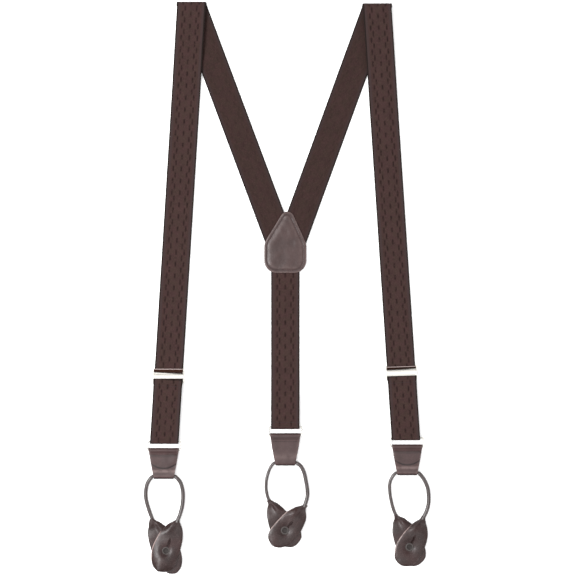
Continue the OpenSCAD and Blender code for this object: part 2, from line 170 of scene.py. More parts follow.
class End:
    """Where one ring, tab and runner are. Local frames have their origin on the table."""

    def __init__(self, name):
        self.name = name
        self.ring = joint_point(name + "_ring_hinge")
        self.lower_bar = joint_point(name + "_tab_hinge")
        self.tunnel = joint_point(name + "_runner_hinge")
        self.on_ring = place(self.ring, 0)
        self.on_tab = place(self.lower_bar, 0)
        self.on_tunnel = place(self.tunnel, 0)
        self.tab_drop = self.lower_bar.y - self.tunnel.y
        hinge = joint_point(name + "_ear_hinge")
        over_lean = lean_of(joint(name + "_ear_hinge")["axis"])
        root = hinge - EAR_HINGE_AT * down(over_lean)
        self.on_over = place(root, over_lean)
        self.stud = root + EAR_HOLE_AT * down(over_lean)


strap_low, strap_high = box_mm("centre_strap")
WEBBING_W = round(strap_high.x - strap_low.x, 2)
HALF_WEBBING = WEBBING_W / 2
BACK_RING = joint_point("back_ring_hinge")
BAR_Z = BACK_RING.z
LOW_MID_Z = STRAP_Z + WEBBING_T / 2
LOOP_MID_R = BAR_Z - LOW_MID_Z
RETURN_MID_Z = BAR_Z + LOOP_MID_R
side_of = {name: Side(name) for name in SIDES}
end_of = {name: End(name) for name in ENDS}

# How each ear is cut: (distance from its root, reach to that side), down to its tip. The inner
# side is towards the other ear of the pair.
UNDER_EAR = {
    "left": {
        "inner": [(-5, 1.9), (-2, 2.4), (2, 6), (8, 9.5), (14, 12.3), (22, 14.3), (32, 15.2),
                  (40, 15), (50, 12.9), (57, 9), (62, 5)],
        "outer": [(-5, 3), (-2, 5.2), (2, 7.2), (6, 10), (11, 12), (22, 14.2), (32, 15),
                  (45, 13.5), (54, 10.5), (60, 7.5), (62, 6)],
    },
    "right": {
        "inner": [(-2.2, 2.1), (0, 2.2), (2, 4), (5, 7.2), (8, 8.8), (14, 12.2), (20, 14),
                  (32, 15.3), (44, 15.7), (50, 14.5), (57, 10.5), (59.5, 8)],
        "outer": [(-2.2, 2.1), (0, 2.4), (2, 3.4), (5, 6.2), (8, 7.8), (14, 10.9), (20, 12.4),
                  (30, 13.6), (45, 13), (54, 10), (59.5, 7)],
    },
    "back": {
        "inner": [(-2.2, 2.3), (2, 4.6), (6, 7.3), (11, 9.4), (18, 11.5), (26, 13.8),
                  (34, 15), (42, 15.9), (50, 13.6), (54, 11), (57, 8)],
        "outer": [(-2.2, 2.1), (0, 2), (2, 2.6), (6, 6.2), (11, 9.2), (18, 11.8), (26, 13.8),
                  (34, 14.2), (45, 13), (52, 9), (57, 4)],
    },
}
OVER_EAR = {
    "left": {
        "inner": [(-2.2, 2.1), (-1, 2.2), (2, 4.8), (6, 8.2), (10, 10.4), (16, 13.2), (23, 14.6),
                  (32, 15.6), (40, 15.1), (50, 11.8), (54, 9.4), (59.5, 6)],
        "outer": [(-2.2, 2.4), (-1, 2.6), (2, 5.2), (6, 8.5), (11, 11), (18, 13.3), (26, 14.4),
                  (36, 15.5), (45, 16.4), (51, 15), (56, 11), (59.5, 8)],
    },
    "right": {
        "inner": [(-2.2, 2.2), (0, 2.2), (2, 2.6), (6, 5.4), (10, 7.8), (14, 9.5), (20, 11.7),
                  (28, 13.6), (38, 14.8), (45, 13.2), (52, 10.4), (57.5, 7)],
        "outer": [(-2.2, 2.6), (0, 3.4), (3, 5.6), (8, 9.6), (14, 12.8), (20, 14.7), (28, 15.8),
                  (38, 15.6), (46, 15), (52, 12), (57.5, 7)],
    },
    "back": {
        "inner": [(-2.2, 2.2), (0, 2.6), (3, 4.4), (7, 7.4), (11, 9.2), (18, 12), (28, 13.2),
                  (40, 13.5), (45, 13.2), (50, 11.5), (57, 7)],
        "outer": [(-2.2, 2.2), (0, 2.3), (3, 3.6), (7, 7.8), (11, 10.6), (18, 13), (26, 14.7),
                  (36, 15.2), (44, 14.4), (50, 10.8), (57, 6)],
    },
}

# Relief of the upper ears: how far the leather stands above its edges all over, along the
# middle, and along the middle of the tip, and the radius of the dish round the stud
HOLLOW = {"left": 0.7, "right": 1.9, "back": 1.8}
DOME = {"left": 1.2, "right": 1.2, "back": 1.1}
CREST = {"left": 3.3, "right": 0.6, "back": 0.3}
DISH_R = {"left": 5.4, "right": 7.6, "back": 7.6}

# Radius of each cord outside the tunnel, on the lower and on the upper ear's side
CORD_SIDE_R = {"left": (2.15, 2.2), "right": (1.85, 2.2), "back": (1.75, 2.2)}

# Roots of the lower ears and routes of the cords, about the middle of each tunnel
UNDER_ROOT = {"left": (-11.2, -51.8), "right": (-12.1, -49.0), "back": (-18.0, -43.7)}
CORD_ROUTE = {
    "left": [
        (-10.4, -53.6, -1.4), (-14, -45, -1.4), (-17.5, -35, -1.4), (-20, -25, -1.3),
        (-20, -15, -1), (-17.5, -6.5, -0.4), (-12, 0, 0), (-6, 0, 0), (0, 0, 0), (6, 0, 0),
        (12, 0, 0), (18, -6, 0), (21, -15, 0), (21.5, -24, 0), (20.5, -34, 0), (18, -43, 0),
        (14.6, -51.6, 0),
    ],
    "right": [
        (-11.3, -50.8, -1.4), (-15, -42, -1.4), (-18, -31, -1.4), (-19.5, -21, -1.3),
        (-19.5, -12.5, -1), (-17, -5.5, -0.4), (-12, 0, 0), (-6, 0, 0), (0, 0, 0), (6, 0, 0),
        (12, 0, 0), (18, -6.5, 0), (22.5, -16, 0), (24, -26, 0), (23.5, -36, 0),
        (21, -44.5, 0), (16.7, -52.3, 0),
    ],
    "back": [
        (-17, -45.4, -1.4), (-20, -37, -1.4), (-21.5, -28, -1.4), (-21, -19, -1.2),
        (-18.5, -9.5, -0.8), (-15.5, -3.5, -0.3), (-12, 0, 0), (-6, 0, 0), (0, 0, 0),
        (6, 0, 0), (12, 0, 0), (17.5, -4, 0), (21, -11, 0), (23, -20, 0), (24.5, -29, 0),
        (24.5, -38, 0), (21.2, -49.4, 0),
    ],
}


# ---------------------------------------------------------------- camera, lights and floor


def camera():
    """Straight above, on a long lens."""
    lens, sensor = 140, 36
    view_w = 0.644
    data = bpy.data.cameras.new("camera")
    data.lens = lens
    data.sensor_width = sensor
    data.clip_end = 50
    cam = bpy.data.objects.new("camera", data)
    cam.location = (0.003, -0.0481, view_w * lens / sensor)
    bpy.context.scene.collection.objects.link(cam)
    bpy.context.scene.camera = cam


def area_light(name, location, size, power):
    """A soft round lamp that faces the middle of the floor."""
    data = bpy.data.lights.new(name, "AREA")
    data.shape = "DISK"
    data.size = size
    data.energy = power
    lamp = bpy.data.objects.new(name, data)
    lamp.location = location
    lamp.rotation_euler = Vector(location).to_track_quat("Z", "Y").to_euler()
    bpy.context.scene.collection.objects.link(lamp)


def sky():
    """A white ceiling overhead that falls off to grey walls."""
    fall_off = {"From Min": 0.76, "From Max": 0.965, "To Min": 0.34, "To Max": 2.0}
    world = bpy.data.worlds.new("studio")
    world.use_nodes = True
    nodes, links = world.node_tree.nodes, world.node_tree.links
    nodes["Background"].inputs["Color"].default_value = (1, 1, 1, 1)
    coordinates = nodes.new("ShaderNodeTexCoord")
    split = nodes.new("ShaderNodeSeparateXYZ")
    fall = nodes.new("ShaderNodeMapRange")
    fall.interpolation_type = "SMOOTHSTEP"
    for socket, value in fall_off.items():
        fall.inputs[socket].default_value = value
    links.new(coordinates.outputs["Generated"], split.inputs["Vector"])
    links.new(split.outputs["Z"], fall.inputs["Value"])
    links.new(fall.outputs["Result"], nodes["Background"].inputs["Strength"])
    bpy.context.scene.world = world


def pale_floor():
    """White paper that glows a little, like a light table, so that it takes no shadows."""
    half = 16.0
    corners = [(-half, -half, 0), (half, -half, 0), (half, half, 0), (-half, half, 0)]
    mesh = bpy.data.meshes.new("floor")
    mesh.from_pydata(corners, [], [(0, 1, 2, 3)])
    floor = bpy.data.objects.new("floor", mesh)
    floor.location.z = -0.0002
    paper = bpy.data.materials.new("floor_paper")
    paper.use_nodes = True
    shader = paper.node_tree.nodes["Principled BSDF"]
    shader.inputs["Base Color"].default_value = (0.93, 0.93, 0.93, 1)
    shader.inputs["Roughness"].default_value = 0.9
    shader.inputs["Emission Color"].default_value = (1, 1, 1, 1)
    shader.inputs["Emission Strength"].default_value = 0.25
    mesh.materials.append(paper)
    bpy.context.scene.collection.objects.link(floor)


def studio():
    """Soft light from all round, strongest from the left, over a pale floor."""
    sky()
    area_light("key", (-1.15, 0.05, 1.9), 0.9, 44)
    area_light("top_left", (-1.0, 1.5, 1.4), 0.9, 12)
    area_light("right", (1.8, 0.4, 1.0), 1.1, 10)
    area_light("front_left", (-1.1, -1.5, 1.4), 1.1, 13)
    area_light("front_right", (1.4, -1.4, 1.1), 1.1, 10)
    bpy.context.scene.view_settings.view_transform = "Standard"
    pale_floor()


# ---------------------------------------------------------------- materials


class Graph:
    """Short names for building a material's nodes."""

    def __init__(self, name):
        self.material = bpy.data.materials.new(name)
        self.material.use_nodes = True
        self.tree = self.material.node_tree
        self.shader = self.tree.nodes["Principled BSDF"]

    def node(self, kind, inputs=None, **settings):
        """A new node with its settings and its inputs, each a value or a socket."""
        made = self.tree.nodes.new("ShaderNode" + kind)
        for key, value in settings.items():
            setattr(made, key, value)
        for key, value in (inputs or {}).items():
            self.put(made.inputs[key], value)
        return made

    def put(self, socket, value):
        """Links an output to a socket, or sets the socket's own value."""
        if isinstance(value, bpy.types.NodeSocket):
            self.tree.links.new(value, socket)
        else:
            socket.default_value = value

    def math(self, operation, a, b=0.0, c=0.0, clamp=False):
        """One step of arithmetic."""
        made = self.node("Math", {0: a, 1: b, 2: c}, operation=operation, use_clamp=clamp)
        return made.outputs[0]

    def mix(self, factor, a, b):
        """Colour a at factor 0, and b at factor 1."""
        made = self.node("Mix", data_type="RGBA")
        self.put(made.inputs["Factor"], factor)
        self.put(made.inputs[6], a)
        self.put(made.inputs[7], b)
        return made.outputs[2]

    def ramp(self, value, low, high):
        """0 at low and 1 at high, eased."""
        made = self.node("MapRange", {"Value": value, "From Min": low, "From Max": high},
                         interpolation_type="SMOOTHSTEP")
        return made.outputs["Result"]

    def bump(self, height, depth_mm, strength=1.0):
        """Gives the surface relief."""
        made = self.node("Bump", {"Height": height, "Strength": strength,
                                  "Distance": depth_mm * MM})
        self.put(self.shader.inputs["Normal"], made.outputs["Normal"])

    def noise(self, vector, scale, detail=3.0, rough=0.55):
        """Cloudy noise from 0 to 1."""
        made = self.node("TexNoise", {"Vector": vector, "Scale": scale, "Detail": detail,
                                      "Roughness": rough})
        return made.outputs["Fac"]

    def rest(self):
        """Rest position in millimetres, which stays on the surface when a piece bends."""
        return self.node("Attribute", attribute_name="rest").outputs["Vector"]

    def value(self, name):
        """A number stored at each point of the mesh."""
        return self.node("Attribute", attribute_name=name).outputs["Fac"]

    def set(self, **values):
        """Sets the shader's inputs by name, with _ for a space."""
        for key, value in values.items():
            self.put(self.shader.inputs[key.replace("_", " ")], value)


def tinted(base, red, green, blue):
    """A colour with each of its parts scaled."""
    return (base[0] * red, base[1] * green, base[2] * blue, 1)


def dash(g, along, column, shift, phase, length, width):
    """A short lengthwise dash of the weave at a place across the tape, once a period."""
    period = 13.3
    off = g.math("ABSOLUTE", g.math("SUBTRACT", column, shift))
    beside = g.math("SUBTRACT", 1.0, g.ramp(off, width * 0.1, width * 0.8))
    turns = g.math("FRACT", g.math("ADD", g.math("DIVIDE", along, period), phase))
    away = g.math("MULTIPLY", g.math("ABSOLUTE", g.math("SUBTRACT", turns, 0.5)), period)
    within = g.math("SUBTRACT", 1.0, g.ramp(away, length * 0.25, length * 0.65))
    return g.math("MULTIPLY", beside, within)


def webbing_material(name, ground, figure, edge, contrast):
    """Ribbed jacquard tape. The tape map holds millimetres across and along it."""
    rib_pitch, pick_pitch = 0.95, 0.62
    band_start, band_end = 11.8, 12.3
    g = Graph(name)
    tape = g.node("UVMap", uv_map="tape").outputs["UV"]
    parts = g.node("SeparateXYZ", {"Vector": tape})
    across, along = parts.outputs["X"], parts.outputs["Y"]
    from_middle = g.math("ABSOLUTE", across)

    figures = dash(g, along, from_middle, 9.0, 0.0, 6.8, 2.0)
    figures = g.math("MAXIMUM", figures, dash(g, along, from_middle, 6.4, 0.5, 6.8, 1.9))
    figures = g.math("MAXIMUM", figures, dash(g, along, across, 0.0, 0.0, 6.0, 2.1))
    wander = g.noise(g.rest(), 0.09, 3.0)
    hue = g.noise(g.rest(), 0.16, 2.0)
    grain = g.node("VectorMath", {0: tape, 1: (1.6, 0.45, 1)}, operation="MULTIPLY").outputs[0]
    fleck = g.noise(grain, 1.0, 2.0)
    rib = g.math("SINE", g.math("MULTIPLY", across, 2 * math.pi / rib_pitch))
    pick = g.math("SINE", g.math("MULTIPLY", along, 2 * math.pi / pick_pitch))
    in_band = g.ramp(from_middle, band_start, band_end)

    shade = g.mix(g.ramp(wander, 0.3, 0.7), tinted(ground, 0.88, 0.88, 0.88),
                  tinted(ground, 1.14, 1.14, 1.14))
    shade = g.mix(g.ramp(hue, 0.35, 0.65), shade,
                  g.mix(0.5, shade, tinted(ground, 0.9, 1.25, 0.9)))
    shade = g.mix(g.math("MULTIPLY", g.ramp(fleck, 0.42, 0.68), 0.6), shade,
                  tinted(ground, 1.75, 1.85, 1.85))
    uneven = g.math("MULTIPLY", contrast, g.ramp(g.noise(g.rest(), 0.5, 2.0), 0.15, 0.6))
    shade = g.mix(g.math("MULTIPLY", figures, uneven), shade, figure)
    shade = g.mix(g.math("MULTIPLY", in_band, 0.75), shade, tinted(ground, 1.05, 1.4, 1.5))
    # Painted shade: the valleys between the ribs are turned towards the dark figure colour.
    rib_valley_shade = g.math("MULTIPLY_ADD", rib, -0.5, 0.5)
    shade = g.mix(g.math("MULTIPLY", rib_valley_shade, 0.35), shade, figure)
    selvedge = g.ramp(from_middle, HALF_WEBBING - 1.8, HALF_WEBBING - 1.0)
    g.set(Base_Color=g.mix(selvedge, shade, edge))

    rib_height = g.math("MULTIPLY", rib, 0.5)
    pick_height = g.math("MULTIPLY", pick, g.math("MULTIPLY_ADD", in_band, -0.2, 0.3))
    height = g.math("ADD", rib_height, pick_height)
    height = g.math("MULTIPLY_ADD", figures, -1.2 * contrast, height)
    height = g.math("MULTIPLY_ADD", fleck, 0.8, height)
    g.bump(height, 0.12, 0.8)
    rough = g.math("MULTIPLY_ADD", fleck, 0.15, 0.66)
    g.set(Roughness=rough, Sheen_Weight=0.04, Sheen_Roughness=0.5, Specular_IOR_Level=0.12)
    return g.material


def leather_material(name, base, light, dark, gloss, waves, shine):
    """Smooth dyed leather: fine pores and slow dents. The mesh's rim value turns it towards light
    up to 1, for worn edges and for painted highlights, and nearly black down to -1, for painted
    shade."""
    g = Graph(name)
    where = g.rest()
    pores = g.node("TexVoronoi", {"Vector": where, "Scale": 1.1}, feature="F1")
    cloud = g.noise(where, 0.07, 4.0)
    fine = g.noise(where, 1.4, 3.0)
    dents = g.noise(where, 0.075, 1.5)
    rim = g.value("rim")

    shade = g.mix(g.ramp(cloud, 0.3, 0.72), dark, base)
    shade = g.mix(g.math("MULTIPLY", g.ramp(fine, 0.45, 0.8), 0.15), shade, light)
    shade = g.mix(g.math("MULTIPLY", g.ramp(pores.outputs["Distance"], 0.45, 0.9), 0.2),
                  shade, dark)
    # Worn edges and painted highlights: a positive rim value turns the colour towards light.
    wear_and_painted_light = g.math("MULTIPLY", rim, g.ramp(g.noise(where, 0.2, 3.0), 0.2, 0.6))
    shade = g.mix(g.math("MULTIPLY", wear_and_painted_light, 0.9, clamp=True), shade, light)
    # Painted shade: a negative rim value turns the colour nearly black.
    painted_shade = g.math("MULTIPLY", rim, -1.0, clamp=True)
    shade = g.mix(painted_shade, shade, tuple(c * 0.2 for c in dark))
    g.set(Base_Color=shade)

    height = g.math("MULTIPLY", pores.outputs["Distance"], -0.04)
    height = g.math("MULTIPLY_ADD", fine, 0.04, height)
    height = g.math("MULTIPLY_ADD", dents, 4.5 * waves, height)
    g.bump(height, 1.0, 0.8)
    rough = g.math("MULTIPLY_ADD", g.noise(where, 0.4, 3.0), 0.2, gloss - 0.1)
    g.set(Roughness=rough, Specular_IOR_Level=shine)
    return g.material


def metal_material(name, tint, rough, scratch):
    """Plated metal with faint polishing lines."""
    g = Graph(name)
    where = g.node("TexCoord").outputs["Object"]
    stretched = g.node("VectorMath", {0: where, 1: (300.0, 3000.0, 3000.0)},
                       operation="MULTIPLY").outputs[0]
    lines = g.noise(stretched, 1.0, 2.0)
    shade = g.mix(g.math("MULTIPLY", lines, 0.25), tint, tinted(tint, 0.8, 0.8, 0.8))
    g.set(Base_Color=shade, Metallic=1.0,
          Roughness=g.math("MULTIPLY_ADD", lines, scratch, rough))
    g.bump(lines, 0.01, 0.4)
    return g.material


def thread_material(name, tint, light):
    """Twisted sewing thread."""
    g = Graph(name)
    twist = g.node("TexWave", {"Vector": g.rest(), "Scale": 1.6, "Distortion": 0.6},
                   bands_direction="DIAGONAL")
    shade = g.mix(g.math("MULTIPLY", twist.outputs["Fac"], 0.6), tint, light)
    g.set(Base_Color=shade, Roughness=0.7)
    g.bump(twist.outputs["Fac"], 0.05, 0.8)
    return g.material


def plastic_material(name, tint, light):
    """Moulded button plastic, with a painted highlight on its rim."""
    g = Graph(name)
    cloud = g.noise(g.rest(), 0.35, 3.0)
    shade = g.mix(g.math("MULTIPLY", cloud, 0.3), tint, light)
    # Painted highlight: the rim value turns the colour towards light.
    shade = g.mix(g.value("rim"), shade, light)
    g.set(Base_Color=shade, Roughness=g.math("MULTIPLY_ADD", cloud, 0.1, 0.45),
          Specular_IOR_Level=0.2)
    g.bump(g.noise(g.rest(), 3.0, 2.0), 0.01, 0.3)
    return g.material


def make_materials():
    """Every material, by its short name."""
    pale = (0.60, 0.58, 0.54, 1)
    return {
        "web_front": webbing_material("webbing_front", (0.035, 0.0165, 0.0155, 1),
                                      (0.010, 0.003, 0.0025, 1), (0.008, 0.004, 0.003, 1), 1.0),
        "web_back": webbing_material("webbing_reverse", (0.027, 0.0125, 0.0115, 1),
                                     (0.012, 0.005, 0.004, 1), (0.009, 0.005, 0.004, 1), 0.35),
        "patch": leather_material("patch_leather", (0.042, 0.020, 0.0185, 1),
                                  (0.12, 0.085, 0.08, 1), (0.026, 0.011, 0.010, 1),
                                  gloss=0.36, waves=0.3, shine=0.34),
        "tab": leather_material("tab_leather", (0.046, 0.023, 0.0225, 1),
                                (0.16, 0.11, 0.105, 1), (0.030, 0.014, 0.0135, 1),
                                gloss=0.36, waves=0.2, shine=0.34),
        "runner": leather_material("runner_leather", (0.024, 0.0085, 0.008, 1),
                                   (0.36, 0.27, 0.255, 1), (0.012, 0.004, 0.0035, 1),
                                   gloss=0.36, waves=0.3, shine=0.32),
        "cord": leather_material("cord_leather", (0.020, 0.008, 0.0075, 1),
                                 (0.30, 0.22, 0.21, 1), (0.014, 0.005, 0.0045, 1),
                                 gloss=0.33, waves=0.02, shine=0.75),
        "thread": thread_material("sewing_thread", (0.012, 0.006, 0.005, 1),
                                  (0.03, 0.018, 0.016, 1)),
        "lever": metal_material("lever_plating", pale, 0.2, 0.1),
        "frame": metal_material("frame_plating", pale, 0.28, 0.1),
        "lip": metal_material("frame_lip", (0.30, 0.24, 0.23, 1), 0.45, 0.15),
        # Near-black metal for the block of painted shade in the adjuster's gap.
        "guard": metal_material("painted_gap_shade", (0.022, 0.010, 0.007, 1), 0.4, 0.2),
        "ring": metal_material("ring_plating", pale, 0.2, 0.1),
        "stud": plastic_material("stud_plastic", (0.010, 0.007, 0.006, 1),
                                 (0.07, 0.06, 0.058, 1)),
    }


# ---------------------------------------------------------------- mesh helpers


def ease(t):
    """0 to 1 with a soft start and end."""
    t = min(max(t, 0.0), 1.0)
    return t * t * (3 - 2 * t)


def blend_of(a, b, t):
    """The value a share t of the way from a to b."""
    return a + (b - a) * t


def mesh_piece(name, points, faces, materials, slots=None, maps=None, rim=None, sharp=40):
    """A smooth-shaded object from points in millimetres, with its rest position stored.
    slots gives each face's material, maps each point's place on a tape, and rim each point's
    wear and painted light and shade. Edges sharper than sharp degrees stay sharp."""
    mesh = bpy.data.meshes.new(name)
    mesh.from_pydata([Vector(p) * MM for p in points], [], faces)
    for material in materials:
        mesh.materials.append(material)
    if slots:
        mesh.polygons.foreach_set("material_index", slots)
    rest = mesh.attributes.new("rest", "FLOAT_VECTOR", "POINT")
    rest.data.foreach_set("vector", [c for p in points for c in p])
    wear_and_painted_light = mesh.attributes.new("rim", "FLOAT", "POINT")
    wear_and_painted_light.data.foreach_set("value", rim or [0.0] * len(points))
    if maps:
        layer = mesh.uv_layers.new(name="tape")
        for loop in mesh.loops:
            layer.data[loop.index].uv = maps[loop.vertex_index]
    work = bmesh.new()
    work.from_mesh(mesh)
    bmesh.ops.recalc_face_normals(work, faces=work.faces)
    work.to_mesh(mesh)
    work.free()
    mesh.polygons.foreach_set("use_smooth", [True] * len(mesh.polygons))
    mesh.set_sharp_from_angle(angle=math.radians(sharp))
    made = bpy.data.objects.new(name, mesh)
    bpy.context.scene.collection.objects.link(made)
    return made


def loft(loops, closed=False, caps=True):
    """Points and faces that join equal loops in order."""
    size = len(loops[0])
    points = [p for loop in loops for p in loop]
    faces = []
    spans = len(loops) if closed else len(loops) - 1
    for i in range(spans):
        here, there = i * size, (i + 1) % len(loops) * size
        for k in range(size):
            n = (k + 1) % size
            faces.append((here + k, here + n, there + n, there + k))
    if caps and not closed:
        faces.append(tuple(reversed(range(size))))
        faces.append(tuple(range((len(loops) - 1) * size, len(loops) * size)))
    return points, faces


def tape_section(half, thick, columns=10, corner=0.35):
    """Across and through places of a tape's section, once round."""
    high = thick / 2
    spots = [-half + corner + (2 * half - 2 * corner) * k / columns for k in range(columns + 1)]
    section = [(u, -high) for u in spots]
    section += [(half, -high + corner), (half, high - corner)]
    section += [(u, high) for u in reversed(spots)]
    section += [(-half, high - corner), (-half, -high + corner)]
    return section


def stand_in(piece, body, node):
    """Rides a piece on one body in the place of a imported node."""
    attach(piece, body)
    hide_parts(node)


def solid(name, shape, material, body, node, rim=None, sharp=40):
    """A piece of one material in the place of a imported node, from its points and faces."""
    piece = mesh_piece(name, *shape, [material], rim=rim, sharp=sharp)
    stand_in(piece, body, node)
    return piece


def ribbon(name, surface, stations, half, thick, materials, start=0.0, columns=10, corner=0.35):
    """A closed tape. surface(u, i) gives the middle point and the normal at place u across
    station i. stations are distances along it, and half(i) is the half width there.
    The faces on the normal's side take the first material, and the others the second."""
    loops, maps, through, rim = [], [], [], []
    for i, along in enumerate(stations):
        loop = []
        for u, v in tape_section(half(i), thick, columns, corner):
            middle, normal = surface(u, i)
            loop.append(middle + normal * v)
            maps.append((u, start + along))
            through.append(v)
            edge = half(i) - abs(u)
            end = min(along - stations[0], stations[-1] - along)
            rim.append(math.exp(-max(edge, 0) / 0.8) if end > 1 else 1.0)
        loops.append(loop)
    points, faces = loft(loops)
    slots = [0 if sum(through[v] for v in f) > 0 else len(materials) - 1 for f in faces]
    return mesh_piece(name, points, faces, materials, slots, maps, rim)


def side_view(where, track):
    """A surface and its stations from a side view: track is a list of (y, z) places."""
    stations = [0.0]
    for a, b in zip(track, track[1:]):
        stations.append(stations[-1] + math.dist(a, b))

    def surface(u, i):
        before, after = track[max(i - 1, 0)], track[min(i + 1, len(track) - 1)]
        dy, dz = after[0] - before[0], after[1] - before[1]
        size = math.hypot(dy, dz)
        normal = where.to_3x3() @ Vector((0, -dz / size, dy / size))
        return where @ Vector((u, track[i][0], track[i][1])), normal

    return surface, stations


def straight(a, b, step=7.0):
    """Places from a to b, without b."""
    count = max(1, round(math.dist(a, b) / step))
    return [(blend_of(a[0], b[0], i / count), blend_of(a[1], b[1], i / count))
            for i in range(count)]


def turn(centre, radius, start, end, count=10):
    """Places round an arc, without the last."""
    places = []
    for i in range(count):
        a = math.radians(blend_of(start, end, i / count))
        places.append((centre[0] + radius * math.cos(a), centre[1] + radius * math.sin(a)))
    return places


def slope(y0, y1, z0, z1, count=14):
    """Places down an eased slope, without the last."""
    return [(blend_of(y0, y1, i / count), blend_of(z0, z1, ease(i / count)))
            for i in range(count)]


def tube(points, radius, sides=14, closed=False):
    """Points and faces of a round tube along points, turned as little as possible."""
    count = len(points)
    loops = []
    side = None
    for i in range(count):
        if closed:
            ahead = points[(i + 1) % count] - points[i - 1]
        else:
            ahead = points[min(i + 1, count - 1)] - points[max(i - 1, 0)]
        ahead.normalize()
        if side is None:
            side = ahead.cross(Vector((0, 0, 1)))
            if side.length < 0.1:
                side = ahead.cross(Vector((1, 0, 0)))
        side = (side - ahead * side.dot(ahead)).normalized()
        up = side.cross(ahead)
        r = radius(i) if callable(radius) else radius
        loops.append([points[i] + side * (r * math.cos(a)) + up * (r * math.sin(a))
                      for a in (2 * math.pi * k / sides for k in range(sides))])
    return loft(loops, closed)


def smooth_path(points, steps=4):
    """A curve through every point, rounded between them."""
    points = [Vector(p) for p in points]
    path = []
    for i in range(len(points) - 1):
        p0 = points[max(i - 1, 0)]
        p1, p2 = points[i], points[i + 1]
        p3 = points[min(i + 2, len(points) - 1)]
        for k in range(steps):
            t = k / steps
            path.append(0.5 * (2 * p1 + (p2 - p0) * t + (2 * p0 - 5 * p1 + 4 * p2 - p3) * t * t
                               + (3 * p1 - p0 - 3 * p2 + p3) * t ** 3))
    path.append(points[-1])
    return path


def path_length(points):
    """Length of a path of points."""
    return sum((b - a).length for a, b in zip(points, points[1:]))


def joined(parts):
    """One list of points and faces from several."""
    points, faces = [], []
    for more, around in parts:
        faces += [tuple(v + len(points) for v in f) for f in around]
        points += list(more)
    return points, faces


def stacked(outline, layers, where, dome=()):
    """A solid from one outline drawn at several insets and heights, bottom first.
    dome adds rings that shrink towards the middle: (share of the last outline, height)."""
    loops = [[where @ Vector((x, y, z)) for x, y in outline(inset)] for inset, z in layers]
    if dome:
        last = outline(layers[-1][0])
        cx = sum(p[0] for p in last) / len(last)
        cy = sum(p[1] for p in last) / len(last)
        for share, z in dome:
            loops.append([where @ Vector((cx + (x - cx) * share, cy + (y - cy) * share, z))
                          for x, y in last])
    return loft(loops)


def rounded_box(half_w, half_h, corner, centre=(0, 0), steps=5):
    """An outline maker for a rectangle with round corners."""
    def outline(inset):
        r = max(corner - inset, 0.02)
        points = []
        for n, (sx, sy) in enumerate(((1, 1), (-1, 1), (-1, -1), (1, -1))):
            cx = centre[0] + sx * (half_w - inset - r)
            cy = centre[1] + sy * (half_h - inset - r)
            for k in range(steps + 1):
                a = math.radians(90 * n + 90 * k / steps)
                points.append((cx + r * math.cos(a), cy + r * math.sin(a)))
        return points
    return outline


def lathe(profile, where, sides):
    """Points and faces of a turned shape. profile is (radius, height) pairs, ends on the axis."""
    loops = []
    for r, z in profile:
        loops.append([where @ Vector((r * math.cos(a), r * math.sin(a), z))
                      for a in (2 * math.pi * k / sides for k in range(sides))])
    return loft(loops)


def stitch(a, b, r):
    """One stitch: a slim bead of thread from a to b that dips at both ends."""
    along = b - a
    side = along.cross(Vector((0, 0, 1))).normalized()
    loops = []
    for t, size, lift in ((0, 0.45, -0.5), (0.15, 0.9, 0.1), (0.5, 1, 0.45), (0.85, 0.9, 0.1),
                          (1, 0.45, -0.5)):
        centre = a + along * t + Vector((0, 0, lift * r))
        up = Vector((0, 0, 1))
        loops.append([centre + (side * math.cos(q) + up * math.sin(q)) * (r * size)
                      for q in (2 * math.pi * k / 6 for k in range(6))])
    return loft(loops)


def stitch_line(path, pitch=2.7, share=0.78, r=0.28):
    """Stitches at an even pitch along a path of points."""
    total = path_length(path)
    count = max(1, round(total / pitch))
    step = total / count

    def at(distance):
        for a, b in zip(path, path[1:]):
            size = (b - a).length
            if distance <= size:
                return a + (b - a) * (distance / size)
            distance -= size
        return path[-1].copy()

    return joined([stitch(at(i * step), at(i * step + step * share), r) for i in range(count)])


def seam(name, mats, parts, body, node):
    """Rows of stitches as one piece of thread."""
    solid(name, joined(parts), mats["thread"], body, node)


# ---------------------------------------------------------------- straps


def tape(name, mats, surface, stations, half=lambda i: HALF_WEBBING, start=0.0):
    """A length of webbing. start is where on the weave's pattern it begins."""
    return ribbon(name, surface, stations, half, WEBBING_T,
                  [mats["web_back"], mats["web_front"]], start)


def lay(piece, stations, held, rests_on, *nodes):
    """Hides the nodes that a tape stands in for."""
    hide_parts(*nodes)


def fold_surface(side, u, s):
    """A place on the tape's middle surface near the shoulder: u across, s along, 0 at the fold.
    The rows of the weave swing round to lie along the fold, so that its edge is level."""
    r = side.fold_r - WEBBING_T / 2
    bend = math.pi * r
    if s <= 0:
        lean, out, level = side.back_lean, -s, ease(-s / FOLD_SWING)
        z = WEBBING_T / 2 + ease((-s - PATCH_BACK_Y) / 25) * ON_BACKING_Z
    elif s < bend:
        angle = s / r
        spread = blend_of(1 / math.cos(math.radians(side.back_lean)),
                          1 / math.cos(math.radians(side.front_lean)), s / bend)
        return Vector((side.fold.x + u * spread, side.fold.y + r * math.sin(angle),
                       side.fold_r - r * math.cos(angle)))
    else:
        lean, out = side.front_lean, s - bend
        level, z = ease(out / SLOPE_START), side.fold_r + r
    row = math.radians(lean * level)
    spread = u / math.cos(row - math.radians(lean))
    middle = Vector((side.fold.x, side.fold.y, z)) + down(lean) * out
    return middle + Vector((math.cos(row), math.sin(row), 0)) * spread


